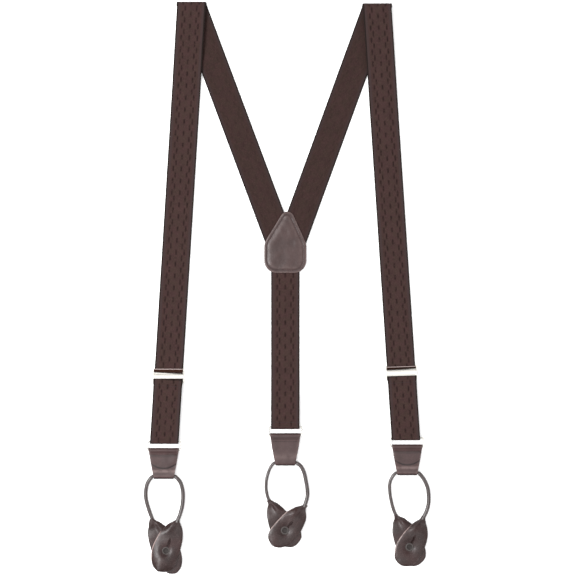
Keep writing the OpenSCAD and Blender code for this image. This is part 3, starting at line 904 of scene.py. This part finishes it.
def back_tape(side, mats):
    """From under the patch, up the back and over the shoulder fold."""
    patch_end = -280.0
    front_start = math.pi * (side.fold_r - WEBBING_T / 2)
    fine = 0.75
    # Close together under the patch and round the fold, and far apart between them
    stations = [patch_end + 4 * i for i in range(16)]
    stations += [-218 + 8 * i for i in range(24)]
    stations += [-30 + 2 * i for i in range(14)]
    stations += [-2 + fine * i for i in range(int((front_start + 2 + SLOPE_START) / fine))]
    stations.append(front_start + SLOPE_START)
    near = 0.05

    def surface(u, i):
        s = stations[i]
        here = fold_surface(side, u, s)
        du = fold_surface(side, u + near, s) - fold_surface(side, u - near, s)
        ds = fold_surface(side, u, s + near) - fold_surface(side, u, s - near)
        return here, du.cross(ds).normalized()

    piece = tape(side.name + "_back_tape", mats, surface, stations)
    trim_at_middle(piece, side)
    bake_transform(piece)
    lay(piece, stations, "folded", "patch_backing",
        side.name + "_back_strap", side.name + "_shoulder_fold")


def trim_at_middle(piece, side):
    """Cuts a back tape off just short of the middle, where the other one comes in."""
    gap = 0.1
    work = bmesh.new()
    work.from_mesh(piece.data)
    cut = bmesh.ops.bisect_plane(
        work, geom=work.verts[:] + work.edges[:] + work.faces[:],
        plane_co=(side.sign * gap * MM, 0, 0), plane_no=(-side.sign, 0, 0), clear_outer=True)
    edges = [e for e in cut["geom_cut"] if isinstance(e, bmesh.types.BMEdge)]
    bmesh.ops.holes_fill(work, edges=edges)
    work.to_mesh(piece.data)
    work.free()


def front_tape(side, mats):
    """Down the front, behind the adjuster, to the ring."""
    top = 2 * side.fold_r - WEBBING_T / 2
    short_of_ring = 4.1
    end = -(side.ring_drop - short_of_ring)
    track = slope(-SLOPE_START, -SLOPE_END, top, LOW_MID_Z, 20)
    track += straight((-SLOPE_END, LOW_MID_Z), (end, LOW_MID_Z)) + [(end, LOW_MID_Z)]
    surface, stations = side_view(side.on_front, track)
    passed = math.pi * (side.fold_r - WEBBING_T / 2) + SLOPE_START
    piece = tape(side.name + "_front_tape", mats, surface, stations, start=passed)
    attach(piece, side.name + "_front")
    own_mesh(piece)
    lay(piece, stations, "laid", side.name + "_adjuster_frame",
        side.name + "_front_strap", side.name + "_lower_strap")


def return_tape(side, mats):
    """Sewn round the adjuster's lower bar, down in front, and round the ring."""
    drop = -(side.ring_drop - side.adjuster_drop)
    hem_r = RETURN_MID_Z - HEM_BAR_Z
    tail_z = HEM_BAR_Z - hem_r
    tuck = drop + 4
    track = straight((HEM_BAR_Y - HEM_TAIL, tail_z), (HEM_BAR_Y, tail_z), 4)
    track += turn((HEM_BAR_Y, HEM_BAR_Z), hem_r, -90, 90)
    track += straight((HEM_BAR_Y, RETURN_MID_Z), (drop, RETURN_MID_Z), 5)
    track += turn((drop, BAR_Z), LOOP_MID_R, 90, 270, 14)
    track += straight((drop, LOW_MID_Z), (tuck, LOW_MID_Z), 4) + [(tuck, LOW_MID_Z)]
    along_tape, stations = side_view(side.on_adjuster, track)
    level = math.tan(math.radians(side.front_lean))

    def surface(u, i):
        """The tape's end is level, like the ring, so its rows swing round over the last part."""
        middle, normal = along_tape(u, i)
        turned = u * level * ease((track[i][0] - HEM_BAR_Y) / (tuck - HEM_BAR_Y))
        return middle + down(side.front_lean) * turned, normal

    def half(i):
        """The face of the tape flares a little where it is sewn round the bar."""
        flare = 0.9 * math.exp(-max(HEM_BAR_Y + 2 - track[i][0], 0) / 5)
        return HALF_WEBBING + (flare if track[i][1] > HEM_BAR_Z - 1 else 0)

    piece = tape(side.name + "_return_tape", mats, surface, stations, half, start=5.0)
    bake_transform(piece)
    lay(piece, stations, "folded", side.name + "_ring",
        *(side.name + part for part in ("_return_strap", "_strap_hem", "_strap_loop")))

    z = RETURN_MID_Z + WEBBING_T / 2 + SEAM_LIFT
    row = [side.on_adjuster @ Vector((u, HEM_BAR_Y - 5.5, z))
           for u in (-HALF_WEBBING + 1.5, HALF_WEBBING - 1.5)]
    seam(side.name + "_hem_thread", mats, [stitch_line(row, 2.2, 0.7, 0.2)],
         side.name + "_adjuster", side.name + "_hem_stitching")


def centre_tape(mats):
    """From under the patch down to the back ring, with its end sewn behind."""
    bar_y = BACK_RING.y
    inside = ON_BACKING_Z + WEBBING_T / 2
    low = WEBBING_T / 2
    patch_y, clear_y = -42, -54
    hem_y, tuck_y = bar_y + 14, bar_y + 13
    rise_y = hem_y + 50
    track = straight((-0.5, inside), (patch_y, inside))
    track += slope(patch_y, clear_y, inside, low, 5)
    track += straight((clear_y, low), (rise_y, low))
    track += slope(rise_y, hem_y, low, RETURN_MID_Z, 12)
    track += straight((hem_y, RETURN_MID_Z), (bar_y, RETURN_MID_Z), 4)
    track += turn((bar_y, BAR_Z), LOOP_MID_R, 90, 270, 14)
    track += straight((bar_y, LOW_MID_Z), (tuck_y, LOW_MID_Z), 4) + [(tuck_y, LOW_MID_Z)]
    surface, stations = side_view(place((BACK_RING.x, 0), 0), track)
    piece = tape("centre_tape", mats, surface, stations)
    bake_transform(piece)
    lay(piece, stations, "laid", "patch_backing", "centre_strap", "back_strap_hem")

    z = RETURN_MID_Z + WEBBING_T / 2 + SEAM_LIFT
    row = [Vector((BACK_RING.x + u, bar_y + 5, z))
           for u in (-HALF_WEBBING + 1.2, HALF_WEBBING - 1.2)]
    seam("back_hem_thread", mats, [stitch_line(row, 2.2, 0.75, 0.24)],
         "back_loop", "back_hem_stitching")


# ---------------------------------------------------------------- patch


def patch_half(apex_x, inset):
    """Right half of the pear, bottom first. The flank touches the side arc and the apex arc."""
    side_x, side_y, side_r = 3.6, -3.3, 20.0
    apex_y, apex_r = 29.4, 7.8
    up_x, up_y = apex_x - side_x, apex_y - side_y
    turned = math.acos((side_r - apex_r) / math.hypot(up_x, up_y))
    slope_at = math.degrees(math.atan2(up_y, up_x) - turned)

    def arc(cx, cy, r, start, end, steps=9):
        return [(cx + (r - inset) * math.cos(math.radians(blend_of(start, end, k / steps))),
                 cy + (r - inset) * math.sin(math.radians(blend_of(start, end, k / steps))))
                for k in range(steps + 1)]

    half = arc(9.6, -17.3, 14, -90, 0) + arc(side_x, side_y, side_r, 2, slope_at)
    foot, top = half[-1], arc(apex_x, apex_y, apex_r, slope_at, 90)
    flank = [(blend_of(foot[0], top[0][0], k / 6), blend_of(foot[1], top[0][1], k / 6))
             for k in range(1, 6)]
    return half + flank + top


def patch_outline(inset):
    """The pear: round feet, full sides, and a small apex a little off the middle."""
    left = [(-x, y) for x, y in reversed(patch_half(-2.2, inset))]
    foot = [(x, -31.3 + inset) for x in (-6, -2, 2, 6)]
    return patch_half(2.2, inset) + left[1:] + foot


def patch(mats):
    """The leather face, padded inside its sewn edge, and the flat backing under it."""
    flat = Matrix.Identity(4)
    z = box_mm("patch_face")[0].z
    rim_z = z + PATCH_T
    layers = [(0.35, z), (0, z + 0.3), (0, rim_z - 0.45), (0.2, rim_z - 0.15), (0.55, rim_z),
              (1.5, rim_z + 0.1), (2.5, rim_z + 0.1), (3.1, rim_z + 0.05), (3.4, rim_z - 0.05),
              (3.7, rim_z - 0.05), (4.1, rim_z + 0.08), (4.8, rim_z + 0.2), (5.8, rim_z + 0.36),
              (7.0, rim_z + 0.5)]
    dome = [(0.93, rim_z + 0.57), (0.84, rim_z + 0.62), (0.7, rim_z + 0.62), (0.55, rim_z + 0.58),
            (0.4, rim_z + 0.54), (0.25, rim_z + 0.5), (0.1, rim_z + 0.5)]
    face = stacked(patch_outline, layers, flat, dome)
    size = len(patch_outline(0))
    # Layers 3 to 5 pale the cut edge with wear. Layers 11 to 14 carry a painted highlight where the
    # padding rises inside the stitching.
    edge_wear_and_highlight = {3: 0.8, 4: 0.8, 5: 0.2, 11: 0.2, 12: 0.35, 13: 0.2, 14: 0.1}
    rim = [edge_wear_and_highlight.get(n // size, 0.0) for n in range(len(face[0]))]
    solid("patch_leather_face", face, mats["patch"], "root", "patch_face",
          rim, sharp=60)

    low = box_mm("patch_backing")[0].z
    layers = [(0.3, low), (0, low + 0.3), (0, low + PATCH_T - 0.3), (0.3, low + PATCH_T)]
    backing = stacked(patch_outline, layers, flat, [(0.5, low + PATCH_T)])
    solid("patch_leather_backing", backing, mats["patch"], "root",
          "patch_backing")

    line = [Vector((x, y, rim_z - 0.05)) for x, y in patch_outline(3.1)]
    seam("patch_seam_thread", mats, [stitch_line(line + line[:1], 2.5, 0.72, 0.26)],
         "root", "patch_stitching")


# ---------------------------------------------------------------- adjusters


def askew(side):
    """The adjuster's own place: it lies a little askew on the strap."""
    return side.on_adjuster @ Matrix.Rotation(math.radians(ADJUSTER_TURN[side.name]), 4, "Z")


def lever(side, mats):
    """The bright plate, its cam round the pin, and the teeth that hold the tape."""
    body = side.name + "_lever"
    top = box_mm(body)[1].z
    under = top - 1.2
    low_y, high_y = LEVER_EDGES[side.name]
    plate = rounded_box(ADJUSTER_HALF_W, (high_y - low_y) / 2, 1.1, (0, (low_y + high_y) / 2))
    layers = [(0.3, under), (0, under + 0.25), (0, top - 0.5), (0.12, top - 0.25),
              (0.35, top - 0.08), (0.7, top), (1.1, top), (1.35, top - 0.06), (1.5, top - 0.22)]
    parts = [stacked(plate, layers, askew(side), [(0.9, top - 0.24), (0.3, top - 0.24)])]

    cam_half, cam_r = 15.6, 1.7
    hinge = side.on_adjuster
    shares = (-1, -0.99, -0.5, 0, 0.5, 0.99, 1)
    line = [hinge @ Vector((cam_half * t, PIN_Y, PIN_Z)) for t in shares]
    parts.append(tube(line, lambda i: cam_r - 0.15 if i in (0, 6) else cam_r, 20))
    web = rounded_box(cam_half - 0.3, 0.6, 0.2, (0, PIN_Y - 0.6))
    parts.append(stacked(web, [(0, 4.6), (0, under + 0.1)], hinge))

    tooth = [(0.5, 2.9), (0.5, 2.5), (0.3, 2.28), (0.02, 2.25)]
    teeth, pitch = 9, 3.2
    for n in range(teeth):
        x = (n - teeth // 2) * pitch
        parts.append(lathe(tooth, hinge @ Matrix.Translation((x, PIN_Y, 0)), 10))
    solid(side.name + "_lever_plate", joined(parts), mats["lever"], body, body,
          sharp=35)


def plain_block(half_w, low_y, high_y, low_z, high_z, at, x=0.0, corner=0.3):
    """A block with rounded corners and edges."""
    outline = rounded_box(half_w, (high_y - low_y) / 2, corner, (x, (low_y + high_y) / 2))
    soft = 0.14
    return stacked(outline, [(soft, low_z), (0, low_z + soft), (0, high_z - soft),
                             (soft, high_z)], at)


def adjuster(side, mats):
    """A stamped frame: base, two walls, the bar the tape is sewn round, a lip, and a dark block
    under the lip that is painted shade.
    """
    at = askew(side)
    top = FRAME_TOP[side.name]
    foot = -8
    wall_x = ADJUSTER_HALF_W - WALL_T / 2
    bar_x = 16.8
    bright = [plain_block(ADJUSTER_HALF_W, foot, 8.2, 0.1, 0.7, at, corner=1)]
    for way in (-1, 1):
        bright.append(plain_block(WALL_T / 2, foot, PIN_Y + 0.1, 0.3, 5.0, at, way * wall_x))
        bright.append(plain_block(WALL_T / 2, PIN_Y, top, 0.3, 3.35, at, way * wall_x))
    bar = [at @ Vector((x, HEM_BAR_Y, HEM_BAR_Z)) for x in (-bar_x, -8, 0, 8, bar_x)]
    bright.append(tube(bar, 0.6, 14))
    # Painted shade: a dark block that stands in for the shade in the gap where the tape passes under
    # the lip.
    guard = plain_block(16.35, 4.2, top - 0.6, 2.2, 2.7, at)
    lip = plain_block(16.1, top - 0.9, top, 2.6, 3.95, at, corner=0.2)

    points, faces = joined(bright + [guard, lip])
    counts = [sum(len(f) for _, f in bright), len(guard[1]), len(lip[1])]
    slots = [n for n, count in enumerate(counts) for _ in range(count)]
    body = mesh_piece(side.name + "_adjuster_body", points, faces,
                      [mats["frame"], mats["guard"], mats["lip"]], slots, sharp=45)
    stand_in(body, side.name + "_adjuster", side.name + "_adjuster_frame")

    spots = (-17.3, -17.1, -8, 0, 8, 17.1, 17.3)
    line = [side.on_adjuster @ Vector((x, PIN_Y, PIN_Z)) for x in spots]
    pin = tube(line, lambda i: 0.5 if i in (0, 6) else 0.7, 16)
    solid(side.name + "_pin", pin, mats["frame"], side.name + "_adjuster",
          side.name + "_hinge_pin")
    lever(side, mats)


# ---------------------------------------------------------------- rings and tabs


def ring(end, mats):
    """A rounded rectangle of plated wire."""
    low, high = box_mm("back_ring")
    half_w = (high.x - low.x) / 2 - WIRE_R
    height = (end.ring - end.lower_bar).length
    outline = rounded_box(half_w, height / 2, 1.8, (0, -height / 2), 8)
    path = [end.on_ring @ Vector((x, y, BAR_Z)) for x, y in outline(0)]
    solid(end.name + "_wire_ring", tube(path, WIRE_R, 16, closed=True), mats["ring"],
          end.name + "_ring", end.name + "_ring")


def tab_half(end, y):
    """Half width of the tab at y below the ring's lower bar: a taper with a slight bow."""
    top, bottom = 3.0, -end.tab_drop - TUNNEL_MID_R
    t = min(max((top - y) / (top - bottom), 0), 1)
    return blend_of(TAB_TOP_HALF, TAB_BOTTOM_HALF, t) + 0.45 * math.sin(math.pi * t)


def tab(end, mats):
    """One leather strip, round the ring at the top and round the cord at the bottom."""
    tunnel = (-end.tab_drop, end.tunnel.z)
    ring_bar = (0, BAR_Z)
    front = end.name != "back"
    face_z = 4.05 if front else 4.85
    back_z = 2.6
    under_ring, above_ring = BAR_Z - TAB_LOOP_R, BAR_Z + TAB_LOOP_R
    over_ring = turn(ring_bar, TAB_LOOP_R, -90, 90, 14)
    behind = slope(tunnel[0], -16, tunnel[1] - TUNNEL_MID_R, back_z, 8)
    around_cord = turn(tunnel, TUNNEL_MID_R, 90, 270, 14)
    down_front = slope(-15, tunnel[0] + 1.2, face_z, tunnel[1] + TUNNEL_MID_R, 10)
    if front:
        track = straight((-3.2, face_z), (-15, face_z), 3) + down_front + around_cord + behind
        track += slope(-16, 0, back_z, under_ring, 8) + over_ring
        track += slope(0, -3.4, above_ring, 4.6, 6) + [(-3.9, 4.5)]
    else:
        track = slope(-8, 0, back_z, under_ring, 6) + over_ring
        track += slope(0, -6, above_ring, face_z, 6)
        track += straight((-6, face_z), (-15, face_z), 3) + down_front + around_cord + behind
        track += straight((-16, back_z), (-9, back_z), 3) + [(-9, back_z)]
    surface, stations = side_view(end.on_tab, track)
    piece = ribbon(end.name + "_tab_leather", surface, stations,
                   lambda i: tab_half(end, track[i][0]), TAB_T, [mats["tab"]], columns=12,
                   corner=0.42)
    paint_tab_light(piece, end, front)
    stand_in(piece, end.name + "_tab", end.name + "_tab")
    if front:
        flap(end, mats)
    tab_thread(end, mats, face_z)


def paint_tab_light(piece, end, front):
    """Paints light and shade in bands across the tab: painted highlights where it bulges, painted
    shadow along its foot, and on the back tab painted shade just below the ring. It keeps some of
    the edges' wear. A band is its y, its width and how much it adds to the rim value."""
    foot = -end.tab_drop - TUNNEL_MID_R
    # Painted shadow along the foot, under the cord.
    bands = [(foot, 0.9, -0.9)]
    if front:
        # Painted highlights just below the flap and on the bulge over the cord.
        bands += [(-23.2, 1.4, 0.8), (-28.5, 1.2, 0.3)]
    else:
        # Painted shade just below the ring, and a painted highlight on the bulge over the cord.
        bands += [(-1.8, 0.6, -0.5), (-23.5, 3.5, 0.3)]
    marks = piece.data.attributes["rim"].data
    for vertex, mark in zip(piece.data.vertices, marks):
        at = end.on_tab.inverted() @ (vertex.co / MM)
        painted_light = sum(size * math.exp(-((at.y - y) / width) ** 2) for y, width, size in bands)
        mark.value = min(max(0.4 * mark.value + painted_light, -1), 1)


def flap(end, mats):
    """The strip's folded end on the front, with a curved lower edge."""
    top_y, side_y, middle_y = -3.3, -15.6, -21.1
    top_z, under_z = 6.0, 4.7
    columns, rows = 16, 14
    spots = [-1 + 2 * n / columns for n in range(columns + 1)]

    def edge(c):
        """How far down the flap reaches at a share c of its half width."""
        return middle_y + (side_y - middle_y) * c * c

    def spot(c, t, depth):
        """A place a share t of the way down, at a depth in the leather."""
        y = blend_of(top_y, edge(c), t)
        half = tab_half(end, y) - 0.35
        z = top_z - 0.35 * ease((t - 0.5) / 0.5) - 0.9 * (1 - ease((top_y - y) / 1.6))
        return end.on_tab @ Vector((c * half, y, z - min(depth, z - under_z)))

    loops, rim = [], []
    for r in range(rows + 1):
        t = r / rows
        last = r == rows
        thick = 0.7 if last else 1.15
        drop = 0.25 if last else 0.0
        loop = []
        for c in spots:
            at_side = abs(c) == 1
            loop.append(spot(c * (0.985 if at_side else 1), t, drop + (0.2 if at_side else 0)))
        for c in reversed(spots):
            loop.append(spot(c, t, thick - (0.2 if abs(c) == 1 else 0.0)))
        loops.append(loop)
        for n in range(len(loop)):
            # Painted shadow along the flap's lower edge in the last two rows, and painted shade in
            # rows 2 and 3 just below the stitching. The side edges are worn paler.
            if r >= rows - 1:
                rim.append(-0.8)
            elif r in (2, 3):
                rim.append(-0.35)
            else:
                rim.append(0.25 if n in (0, columns) else 0.0)
    solid(end.name + "_flap_leather", loft(loops), mats["tab"],
          end.name + "_tab", end.name + "_tab_flap", rim, sharp=50)


def tab_thread(end, mats, face_z):
    """The rows of stitches across a tab: one on a front tab, two on the back one."""
    rows = [(-5.3, 6.0)]
    if end.name == "back":
        rows = [(-3.6, face_z + 1.1), (-6.6, face_z + 0.7)]
    parts = []
    for y, z in rows:
        half = tab_half(end, y) - 1.6
        line = [end.on_tab @ Vector((u, y, z)) for u in (-half, half)]
        parts.append(stitch_line(line, 2.0, 0.74, 0.26))
    seam(end.name + "_tab_thread", mats, parts, end.name + "_tab", end.name + "_tab_stitching")


# ---------------------------------------------------------------- runners


def cord(end, mats):
    """The rolled leather cord through the tab's tunnel."""
    middle = end.tunnel
    path = smooth_path([middle + Vector(p) for p in CORD_ROUTE[end.name]])
    under_r, over_r = CORD_SIDE_R[end.name]

    def radius(i):
        """The rolled leather is tight in the tunnel and looser outside it."""
        out = path[i].x - middle.x
        loose = ease((abs(out) - 10.6) / 3.6)
        return blend_of(TUNNEL_CORD_R, over_r if out > 0 else under_r, loose)

    piece = solid(end.name + "_rolled_cord", tube(path, radius, 24), mats["cord"],
                  end.name + "_runner", end.name + "_cord")


def along_curve(knots, s):
    """The height at s of a smooth curve through the knots."""
    s = min(max(s, knots[0][0]), knots[-1][0])
    n = max(k for k in range(len(knots) - 1) if knots[k][0] <= s)

    def slope_at(k):
        before, after = knots[max(k - 1, 0)], knots[min(k + 1, len(knots) - 1)]
        return (after[1] - before[1]) / (after[0] - before[0])

    (s0, h0), (s1, h1) = knots[n], knots[n + 1]
    span = s1 - s0
    t = (s - s0) / span
    m0, m1 = slope_at(n) * span, slope_at(n + 1) * span
    return ((2 * t ** 3 - 3 * t ** 2 + 1) * h0 + (t ** 3 - 2 * t ** 2 + t) * m0
            + (3 * t ** 2 - 2 * t ** 3) * h1 + (t ** 3 - t ** 2) * m1)


def ear_stations(cut):
    """Distances from the root where an ear's section is drawn, close together at both ends."""
    first, tip = cut["inner"][0][0], cut["inner"][-1][0]
    stations = [s for s in (-5, -3.8) if s >= first]
    stations += [-2.2, -1.4, -0.4, 0.6, 1.6, 2.7, 3.8, 5.0, 6.4, 8.0, 10, 12, 14.5, 17]
    stations += [20 + 3 * i for i in range(8)]
    return stations + [tip - back for back in (15, 12, 9, 6.5, 4.5, 2.9, 1.7, 0.8, 0.25)]


def shoulder_lift(s, toward):
    """The ear's shoulder is rolled up into a ridge and turns down at its edge. toward is 1 at
    the edge on the other ear's side, and -1 at the far edge."""
    rolled = 2.0 * ease((s + 0.5) / 5) * (1 - ease((s - 9) / 12))
    ridge = math.exp(-((toward - 0.45) / 0.3) ** 2)
    return rolled * (ridge - 0.4 * ease((toward - 0.65) / 0.35))


def face_lift(end, s, toward, away, dome, crest):
    """The leather swells over the ear's face and is drawn down to the stud, away from it."""
    swell = HOLLOW[end.name] + dome * (1 - toward * toward)
    swell += crest * (1.08 - math.sqrt((toward + 0.05) ** 2 + 0.14)) * ease((s - 22) / 20)
    return swell * ease((s - 4) / 14) * (1 - math.exp(-(away / DISH_R[end.name]) ** 2))


def ear(name, where, heights, cut, inner, raw_edge, dome, crest, end, mats):
    """A leather tongue that opens out from a sleeve round the cord's end. heights are its
    middle's at the root and beyond it, and inner (-1 or 1) is the side of the other ear.
    raw_edge is how pale that side's cut edge is. dome is how high the leather stands along the
    middle, and crest along the middle of the tip."""
    tip = cut["inner"][-1][0]
    half_count = 30
    loops, rim = [], []
    for s in ear_stations(cut):
        rounding = math.sqrt(max(0.0, 1 - (max(s - tip + 5, 0) / 5) ** 2))
        high = blend_of(CORD_R + 0.4, EAR_T / 2, ease((s + 2.5) / 9))
        high *= 1 - 0.3 * ease((s - tip + 3) / 3)
        power = blend_of(2, 14, ease((s + 2) / 11))
        z0 = blend_of(heights[0], heights[1], ease(s / 8))
        raw = raw_edge * ease((s - 10) / 6) * (1 - ease((s - tip + 14) / 8))
        loop = []
        for n in range(2 * half_count):
            c = math.cos(math.pi * n / half_count)
            toward = c * inner
            half = along_curve(cut["outer" if toward < 0 else "inner"], s) * rounding
            v = high * math.sqrt(max(0.0, 1 - abs(c) ** power))
            v = v if n < half_count else -v
            spot = where @ Vector((half * c, -s, 0))
            away = (spot.xy - end.stud.xy).length
            lift = shoulder_lift(s, toward) + face_lift(end, s, toward, away, dome, crest)
            loop.append(spot + Vector((0, 0, z0 + v + lift)))
            on_edge = toward >= 0 and v >= -0.15
            rim.append(raw * ease((abs(c) - 0.91) / 0.06) if on_edge else 0.0)
        loops.append(loop)
    return mesh_piece(name, *loft(loops), [mats["runner"]], rim=rim, sharp=60)


def cut_slit(piece, where, hole_at, mid_z, hole_r):
    """Cuts a keyhole buttonhole through an ear."""
    low, high = mid_z - 3, mid_z + 6
    hole = lathe([(0.01, low), (hole_r, low), (hole_r, high), (0.01, high)],
                 where @ Matrix.Translation((0, -hole_at, 0)), 24)
    outline = rounded_box(0.2, SLIT_LENGTH / 2, 0.19, (0, SLIT_LENGTH / 2 - hole_at), 4)
    slit = stacked(outline, [(0, low), (0, high)], where)
    for points, faces in (hole, slit):
        cutter = mesh_piece("cutter", points, faces, [])
        change = piece.modifiers.new("cut", "BOOLEAN")
        change.operation = "DIFFERENCE"
        change.solver = "MANIFOLD"
        change.object = cutter
        bpy.context.view_layer.update()
        seen = piece.evaluated_get(bpy.context.evaluated_depsgraph_get())
        cut = bpy.data.meshes.new_from_object(seen)
        piece.modifiers.clear()
        piece.data = cut
        bpy.data.objects.remove(cutter)
    piece.data.set_sharp_from_angle(angle=math.radians(50))


def runner(end, mats):
    """The cord, its two crossed ears and their stud."""
    cord(end, mats)
    stud = end.on_tunnel.inverted() @ Vector((end.stud.x, end.stud.y, 0))
    root = Vector((*UNDER_ROOT[end.name], 0))
    toward = stud - root
    under_lean = math.degrees(math.atan2(toward.x, -toward.y))
    on_under = end.on_tunnel @ place(root, under_lean)
    under_z = UNDER_EAR_Z + EAR_T / 2
    over_z = OVER_EAR_Z + EAR_T / 2

    under = ear(end.name + "_lower_ear", on_under, (end.tunnel.z - 1.4, under_z),
                UNDER_EAR[end.name], 1, 0.0, 0.3, 0.0, end, mats)
    cut_slit(under, on_under, toward.length, under_z, 2.75)
    stand_in(under, end.name + "_runner", end.name + "_under_ear")

    over = ear(end.name + "_upper_ear", end.on_over, (end.tunnel.z, over_z),
               OVER_EAR[end.name], -1, 1.0, DOME[end.name], CREST[end.name], end, mats)
    cut_slit(over, end.on_over, EAR_HOLE_AT, over_z, 1.65)
    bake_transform(over)
    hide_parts(end.name + "_over_ear")
    studs(end, mats)


def studs(end, mats):
    """A dished cap with its post, and the base it snaps into, as (radius, height) profiles."""
    at = Matrix.Translation((end.stud.x, end.stud.y, 0))
    cap = [(0.01, 0.95), (1.35, 0.95), (1.6, 1.2), (1.6, 4.1), (4.3, 4.1), (4.65, 4.4),
           (4.75, 4.9), (4.6, 5.4), (4.2, 5.75), (3.7, 5.85), (3.2, 5.7), (2.8, 5.3),
           (2.4, 5.0), (1.6, 4.85), (0.8, 4.85), (0.01, 4.85)]
    # Painted highlight round the crest of the cap's rim, between these points of the profile.
    ring_low, ring_high = 7, 10
    sides = 40
    rim = [0.7 if ring_low <= n <= ring_high else 0.0 for n in range(len(cap)) for _ in range(sides)]
    solid(end.name + "_cap", lathe(cap, at, sides), mats["stud"],
          end.name + "_ear", end.name + "_stud_cap", rim, sharp=45)

    base = [(0.01, 0.1), (4.2, 0.1), (4.5, 0.3), (4.5, 0.7), (4.25, 0.9), (2.6, 0.9),
            (2.6, 2.2), (2.4, 2.4), (1.95, 2.4), (1.75, 2.2), (1.75, 0.85), (0.01, 0.8)]
    solid(end.name + "_base", lathe(base, at, sides), mats["stud"],
          end.name + "_runner", end.name + "_stud_base", sharp=45)


# ---------------------------------------------------------------- the scene

camera()
studio()
mats = make_materials()
for end in end_of.values():
    runner(end, mats)
    tab(end, mats)
    ring(end, mats)
for side in side_of.values():
    back_tape(side, mats)
    front_tape(side, mats)
    return_tape(side, mats)
    adjuster(side, mats)
centre_tape(mats)
patch(mats)
